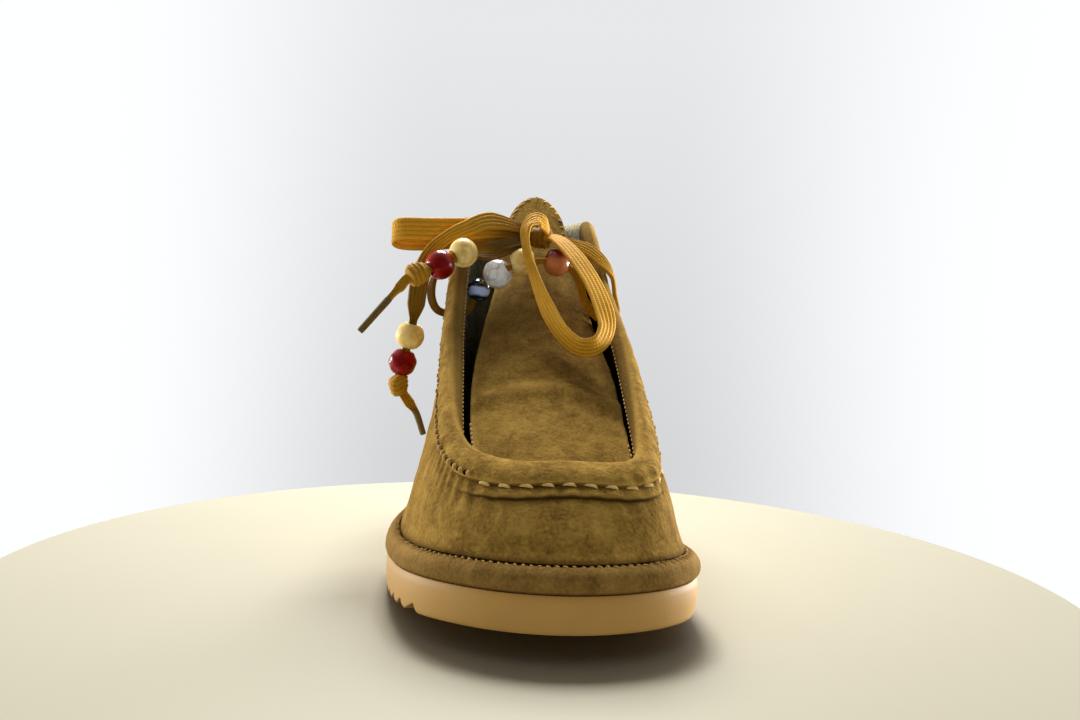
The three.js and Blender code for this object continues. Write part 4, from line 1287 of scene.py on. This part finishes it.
class SHOE_OT_cuff(Registers, bpy.types.Operator):
    """Suede edge band, folded over the throat and the collar"""

    bl_idname = "shoe.cuff"
    bl_label = "Cuff"

    AROUND, SECTION = 900, 76
    # Sections of the fold at throat and collar: distance down from the ridge and out from the wall.
    OUTSIDE = [
        (12.2, 0.5), (12.5, 1.3), (12.0, 2.2), (10.0, 2.85), (7.0, 3.05), (4.2, 2.75), (1.9, 1.9), (0.5, 0.4),
    ]
    THROAT = OUTSIDE + [
        (0.1, -1.2), (0.6, -3.0), (2.4, -4.4), (6.0, -4.7), (9.0, -4.2), (9.2, -3.4), (8.6, -2.9), (5, -2.85),
        (2.6, -2.7), (2.5, 0.4), (7, 0.45),
    ]
    COLLAR = OUTSIDE + [
        (0.0, -0.8), (0.2, -1.5), (0.9, -2.0), (1.6, -2.2), (2.4, -2.2), (2.6, -2.0), (2.7, -1.8),
        (2.8, -1.4), (2.8, -0.8), (2.6, 0.0), (7, 0.45),
    ]

    def execute(self, context):
        t = ring_places(self.AROUND)
        collar = collar_share(t)
        at = ring_places(self.SECTION)[:, 0]
        front, back = spline(self.THROAT, at, True), spline(self.COLLAR, at, True)
        section = front[None] + (back - front)[None] * collar[..., None]
        drop, rise = np.clip(section[..., 0], 0, None), section[..., 1]
        seam, run, tuck = toe_seam(t)
        faced = smooth(rise, 0.8, 2.0)
        out = rise - 0.28 * seam * faced * tuck * bell(drop, 11.0, 3.5)
        small = np.cos(2 * np.pi * run / 9.5 + np.sin(run / 11))
        out = out - 0.22 * (1 - seam) * faced * small * bell(drop, 10.5, 4.5)
        v = v_below(t, drop)
        flat = off_wall(t, v, out)
        out = out + faced * (0.45 * lumps(flat, 22, 8) + 0.22 * lumps(flat, 8, 9))
        points = off_wall(t, v, out)
        specks = smooth(lumps(flat, 2.4, 23) + 0.6 * lumps(flat, 7, 24), 0.15, 0.7)
        # Painted highlight along the ridge and the lower outer edge, and pale specks of nap.
        pale = 0.4 * bell(drop, 0.4, 1.4) + 0.3 * bell(drop, 12.2, 0.7) * (rise > 0.8) + 0.28 * specks * faced
        # Painted shade under the fold's lower edge and on its inner side along the throat.
        painted_shade = 0.6 * smooth(drop, 12.0, 12.6) * (rise < 1.4)
        painted_shade += 0.6 * smooth(-rise, -1.6, 1.0) * (1 - collar) * smooth(stations_from_toe(t), 1.2, 2.2)
        faces = quads(*points.shape[:2], True, True)
        marks = {"pale": pale, "painted_shade": painted_shade}
        make_piece("folded_cuff", points, faces, "napped_cowhide_suede", "suede", ["cuff"], marks)
        return {"FINISHED"}


class SHOE_OT_tongue(Registers, bpy.types.Operator):
    """Suede tongue with its creases, and the fleece behind it"""

    bl_idname = "shoe.tongue"
    bl_label = "Tongue"

    ALONG, ACROSS = 170, 71

    def execute(self, context):
        sizes, _ = settings()
        crease = sizes.crease / MM
        along = (1 - (1 - np.linspace(0, 1, self.ALONG)) ** 1.5)[:, None] * 0.9985
        across = np.linspace(-1, 1, self.ACROSS)[None, :]
        flat = tongue_sheet(across, along, 0.0)
        s = flat[..., 1] + LENGTH / 2
        x = flat[..., 0]
        wander = 1.6 * lumps(flat, 24, 11) + 0.06 * (x - 5)
        dent = crease * bell(s, 85 + wander, 3.2) * (0.5 + 0.5 * smooth(x, -26, 0))
        dent += 0.9 * crease * bell(s, 73 - wander, 3.6)
        dent += 0.5 * crease * bell(s, 101 + wander + 0.1 * x, 4.5) * smooth(-x, -14, 8)
        dent -= 0.6 * crease * bell(s, 79 + wander, 3.0)
        dent -= 1.2 * bell(x, 17 + 0.08 * (s - 120), 2.6) * bell(s, 122, 12)
        dent -= 0.55 * lumps(flat, 26, 12) + 0.3 * lumps(flat, 9, 13)
        front = tongue_sheet(across, along, dent)
        back = tongue_sheet(across[:, ::-1], along, dent[:, ::-1] + TONGUE_THICK)
        edge = smooth(np.abs(across), 0.9, 1.0) + smooth(along, 0.965, 1.0)
        # Painted highlight in streaks along a crease, and on the edges and the tip.
        crease_highlight = bell(s, 84 + wander, 1.6) * bell(x, -10, 8) * smooth(lumps(flat, 5, 14), -0.2, 0.4)
        pale = 0.45 * np.clip(edge, 0, 1) + 0.8 * crease_highlight
        # Painted shade at the root under the cuff and on the upper part under the bow.
        painted_shade = 0.35 * smooth(-s, -40, -24) + 0.3 * smooth(s, 78, 118) * smooth(-s, -150, -136)
        marks = {"pale": both_sides(pale), "painted_shade": both_sides(painted_shade)}
        points = np.concatenate([front, back], 1)
        faces = tube(*points.shape[:2])
        make_piece("suede_tongue", points, faces, "napped_cowhide_suede", "suede", ["tongue"], marks)

        inner = np.linspace(-0.97, 0.97, self.ACROSS)[None, :]
        behind = 0.992 * along
        thin = smooth(1 - np.abs(inner), 0, 0.06) * smooth(1 - along, 0, 0.02)
        near = tongue_sheet(inner, behind, TONGUE_THICK + dent + 0.1)
        curls = 0.7 * np.abs(lumps(near, sizes.curl / MM, 15)) + 0.4 * lumps(near, 1.7, 16)
        far = tongue_sheet(inner, behind, TONGUE_THICK + dent + 0.3 + thin * (1.6 + curls))
        points = np.concatenate([near, far[:, ::-1]], 1)
        make_piece("tongue_fleece", points, faces, "clipped_sheep_fleece", "fleece")
        return {"FINISHED"}


class SHOE_OT_lining(Registers, bpy.types.Operator):
    """Fleece inside the upper and on the footbed"""

    bl_idname = "shoe.lining"
    bl_label = "Lining"

    AROUND, ROWS = 520, 84
    BED_ALONG, BED_ACROSS = 220, 49

    def execute(self, context):
        sizes, _ = settings()
        curl = sizes.curl / MM
        t = ring_places(self.AROUND)
        collar = collar_share(t)
        share = np.linspace(0, 1, self.ROWS)[None, :] ** 0.92
        v = v_below(t, 8.0 - 7.6 * collar) * share
        near_top = smooth(share, 0.86, 1.0) * collar
        back = off_wall(t, v, -SUEDE_THICK - 0.15 - 0.9 * near_top)
        face = off_wall(t, v, -SUEDE_THICK - 1.9 - 1.6 * near_top)
        curls = 0.9 * np.abs(lumps(face, curl, 17)) + 0.45 * lumps(face, 1.8, 18)
        rounded = smooth(1 - share, 0, 0.03)
        face = off_wall(t, v, -SUEDE_THICK - 0.6 - 0.9 * near_top - rounded * (1.2 + 0.9 * near_top + curls))
        lift = 1.8 * near_top * smooth(share, 0.95, 1.0)
        face[..., 2] += lift
        back[..., 2] += lift
        points = np.concatenate([face, back[:, ::-1]], 1)
        # Painted shade: the lining turns to the throat colour along the throat and deeper down from the rim.
        deep = smooth(run_down(face), 24, 84)
        marks = {"painted_shade": both_sides(np.maximum(1 - collar, 0.94 * deep))}
        faces = quads(*points.shape[:2], True, True)
        punch(make_piece("fleece_lining", points, faces, "clipped_sheep_fleece", "fleece", marks=marks))

        t = np.linspace(0.004, 0.496, self.BED_ALONG)[:, None]
        inset = RAND_INNER + INSOLE_GAP
        outer, inner = on_foam(t[:, 0], inset, 0.3), on_foam(1 - t[:, 0], inset, 0.3)
        over = np.linspace(0, 1, self.BED_ACROSS)[None, :, None]
        low = outer[:, None] + (inner - outer)[:, None] * over
        high = low.copy()
        edge = smooth(0.5 - np.abs(over[..., 0] - 0.5), 0, 0.05) * smooth(0.25 - np.abs(t - 0.25), 0, 0.02)
        curls = 0.8 * np.abs(lumps(low, curl, 19)) + 0.4 * lumps(low, 1.8, 20)
        high[..., 2] += 4.5 + edge * (2.2 + curls)
        points = np.concatenate([high, low[:, ::-1]], 1)
        faces = tube(*points.shape[:2])
        # Painted shade on the footbed, dark from the toe to past its middle.
        marks = {"painted_shade": 1 - smooth(points[..., 1], 15, 45)}
        make_piece("fleece_footbed", points, faces, "clipped_sheep_fleece", "fleece", ["insole"], marks)
        return {"FINISHED"}


class SHOE_OT_stitching(Registers, bpy.types.Operator):
    """Stitches and needle holes on the toe seam, the rand, the cuff, the back strip and the tongue"""

    bl_idname = "shoe.stitching"
    bl_label = "Stitching"

    FINE, VAMP_PITCH = 4000, 2.8
    BACK_STOP, BACK_INSET = 13.5, 1.4

    def places(self, low, high):
        """Fine places from one station to another."""
        return np.linspace(low, high, self.FINE)[:, None] / STATION_COUNT

    def execute(self, context):
        sizes, _ = settings()
        chance = np.random.default_rng(CHANCE_SEED)
        heavy_thread, fine_thread = "waxed_twisted_thread", "fine_twisted_thread"
        names = "folded_cuff", "rolled_rand", "suede_upper", "suede_tongue"
        cuff, rand, upper, tongue = (bpy.data.objects[name] for name in names)
        side_pitch = sizes.side_stitch / MM

        t = self.places(-1.85, 1.26)
        line = line_below(t, SEAM_DROP, 0.95)
        pick, ways = stitch_places(line, sizes.toe_stitch / MM)
        outs = wall_out(t[pick], v_below(t[pick], SEAM_DROP))[:, 0]
        corner = smooth(-t[pick] * STATION_COUNT, 1.0, 1.6)
        in_turn = (-1) ** np.arange(len(pick))[:, None]
        tilt = chance.uniform(0.1, 0.25, (len(pick), 1)) + 0.5 * corner * in_turn
        crowd = corner[:, 0]
        long = chance.uniform(3.8, 4.5, len(pick)) * (1 + 0.15 * crowd)
        wide, high = 1.3 + 0.6 * crowd, 0.7 + 0.3 * crowd
        ways = ways + tilt * np.cross(ways, outs)
        stitch_row("toe_stitches", line[pick], ways, outs, long, wide, high, heavy_thread)

        line = on_foam(np.linspace(0, 1, self.FINE), 3.8, 7.5)
        middles, ways, _ = row_on(rand, [line], sizes.feather_stitch / MM)
        up = np.tile([0, 0, 1.0], (len(ways), 1))
        ways = ways + np.cross(ways, up) * chance.uniform(0.5, 1.2, (len(ways), 1))
        long = chance.uniform(1.3, 2.0, len(ways))
        stitch_row("feather_stitches", middles, ways, up, long, 0.65, 0.5, fine_thread)

        holes = []
        for side, low, high in (("outer", 1.24, 7.99), ("inner", 14.1, 8.05)):
            t = self.places(low, high)
            line = line_below(t, 11.0 + 1.2 * seam_share(t), 2.6)
            pick, ways = stitch_places(line, side_pitch)
            middles, outs = seat(cuff, line[pick])
            heavy = (1 - smooth(t[pick, 0] * STATION_COUNT, 2.3, 3.3)) * (side == "outer")
            long = chance.uniform(1.6, 2.3, len(pick)) * (1 + 0.3 * heavy)
            wide, high = 0.7 + 0.7 * heavy, 0.5 + 0.6 * heavy
            lean = ways + 0.9 * heavy[:, None] * np.cross(ways, outs)
            stitch_row("cuff_stitches_" + side, middles, lean, outs, long, wide, high, fine_thread)
            holes.append((*seat(cuff, middles + ways * side_pitch / 2), 0.55 + 0.4 * heavy))
        needle_holes("needle_holes", *(np.concatenate(part) for part in zip(*holes)))

        heel = wall(np.array([[0.5]]), np.linspace(0.05, 1.0, self.FINE)[None, :])[0]
        heel = heel[heel[:, 2] < heel[-1, 2] - self.BACK_STOP]
        lines = [heel + np.array([edge * (STRIP_HALF - self.BACK_INSET), 2.0, 0]) for edge in (-1, 1)]
        stitch_row("back_stitches", *row_on(upper, lines, side_pitch), 2.2, 0.75, 0.5, fine_thread)

        rows = row_on(cuff, [line_below(self.places(-4.6, 4.6), 2.6, -4.6)], sizes.throat_stitch / MM)
        stitch_row("throat_stitches", *rows, 1.3, 0.6, 0.5, heavy_thread)

        lines = [line_below(self.places(low, high), 6.0, -6.4) for low, high in ((1.0, 2.4), (-2.2, -1.0))]
        rows = row_on(tongue, lines, self.VAMP_PITCH)
        stitch_row("vamp_stitches", *rows, 2.0, 0.9, 0.8, heavy_thread)

        along = np.linspace(0.8, 0.998, self.FINE)
        rim = np.concatenate([tongue_sheet(-1.0, along, 0.2), tongue_sheet(1.0, along, 0.2)[::-1]])
        inside = np.concatenate([tongue_sheet(-0.8, along, 0.0), tongue_sheet(0.8, along, 0.0)[::-1]])
        pick, _ = stitch_places(rim, sizes.tongue_stitch / MM)
        ways = unit(inside[pick] - rim[pick])
        ahead = unit(np.roll(rim, -RIM_AHEAD, 0)[pick] - rim[pick])
        middles, outs = seat(tongue, rim[pick] + ways * 1.5 + np.array([0, -0.8, 0.2]))
        stitch_row("tongue_stitches", middles, ways + 0.6 * ahead, outs, 3.4, 0.8, 0.5, heavy_thread)
        return {"FINISHED"}


class SHOE_PT_panel(bpy.types.Panel):
    """Sizes, colours and pieces of the shoe"""

    bl_idname = "SHOE_PT_panel"
    bl_label = "Beaded suede moccasin"
    bl_space_type = "VIEW_3D"
    bl_region_type = "UI"
    bl_category = "Shoe"

    def draw(self, context):
        for group in settings():
            box = self.layout.box()
            for name in group.__annotations__:
                box.prop(group, name)
        for operator in OPERATORS:
            self.layout.operator(operator.bl_idname)


GROUPS = [ShoeSizes, ShoeColours]
OPERATORS = [
    SHOE_OT_stage,
    SHOE_OT_beads,
    SHOE_OT_bow,
    SHOE_OT_crossing,
    SHOE_OT_sole,
    SHOE_OT_rand,
    SHOE_OT_upper,
    SHOE_OT_cuff,
    SHOE_OT_tongue,
    SHOE_OT_lining,
    SHOE_OT_stitching,
]
CLASSES = [*GROUPS, *OPERATORS, SHOE_PT_panel]


def register():
    for each in CLASSES:
        bpy.utils.register_class(each)
    bpy.types.Scene.shoe_sizes = bpy.props.PointerProperty(type=ShoeSizes)
    bpy.types.Scene.shoe_colours = bpy.props.PointerProperty(type=ShoeColours)


def unregister():
    del bpy.types.Scene.shoe_colours
    del bpy.types.Scene.shoe_sizes
    for each in reversed(CLASSES):
        bpy.utils.unregister_class(each)


def main():
    register()
    for operator in OPERATORS:
        group, name = operator.bl_idname.split(".")
        getattr(getattr(bpy.ops, group), name)()


if __name__ == "__main__":
    main()
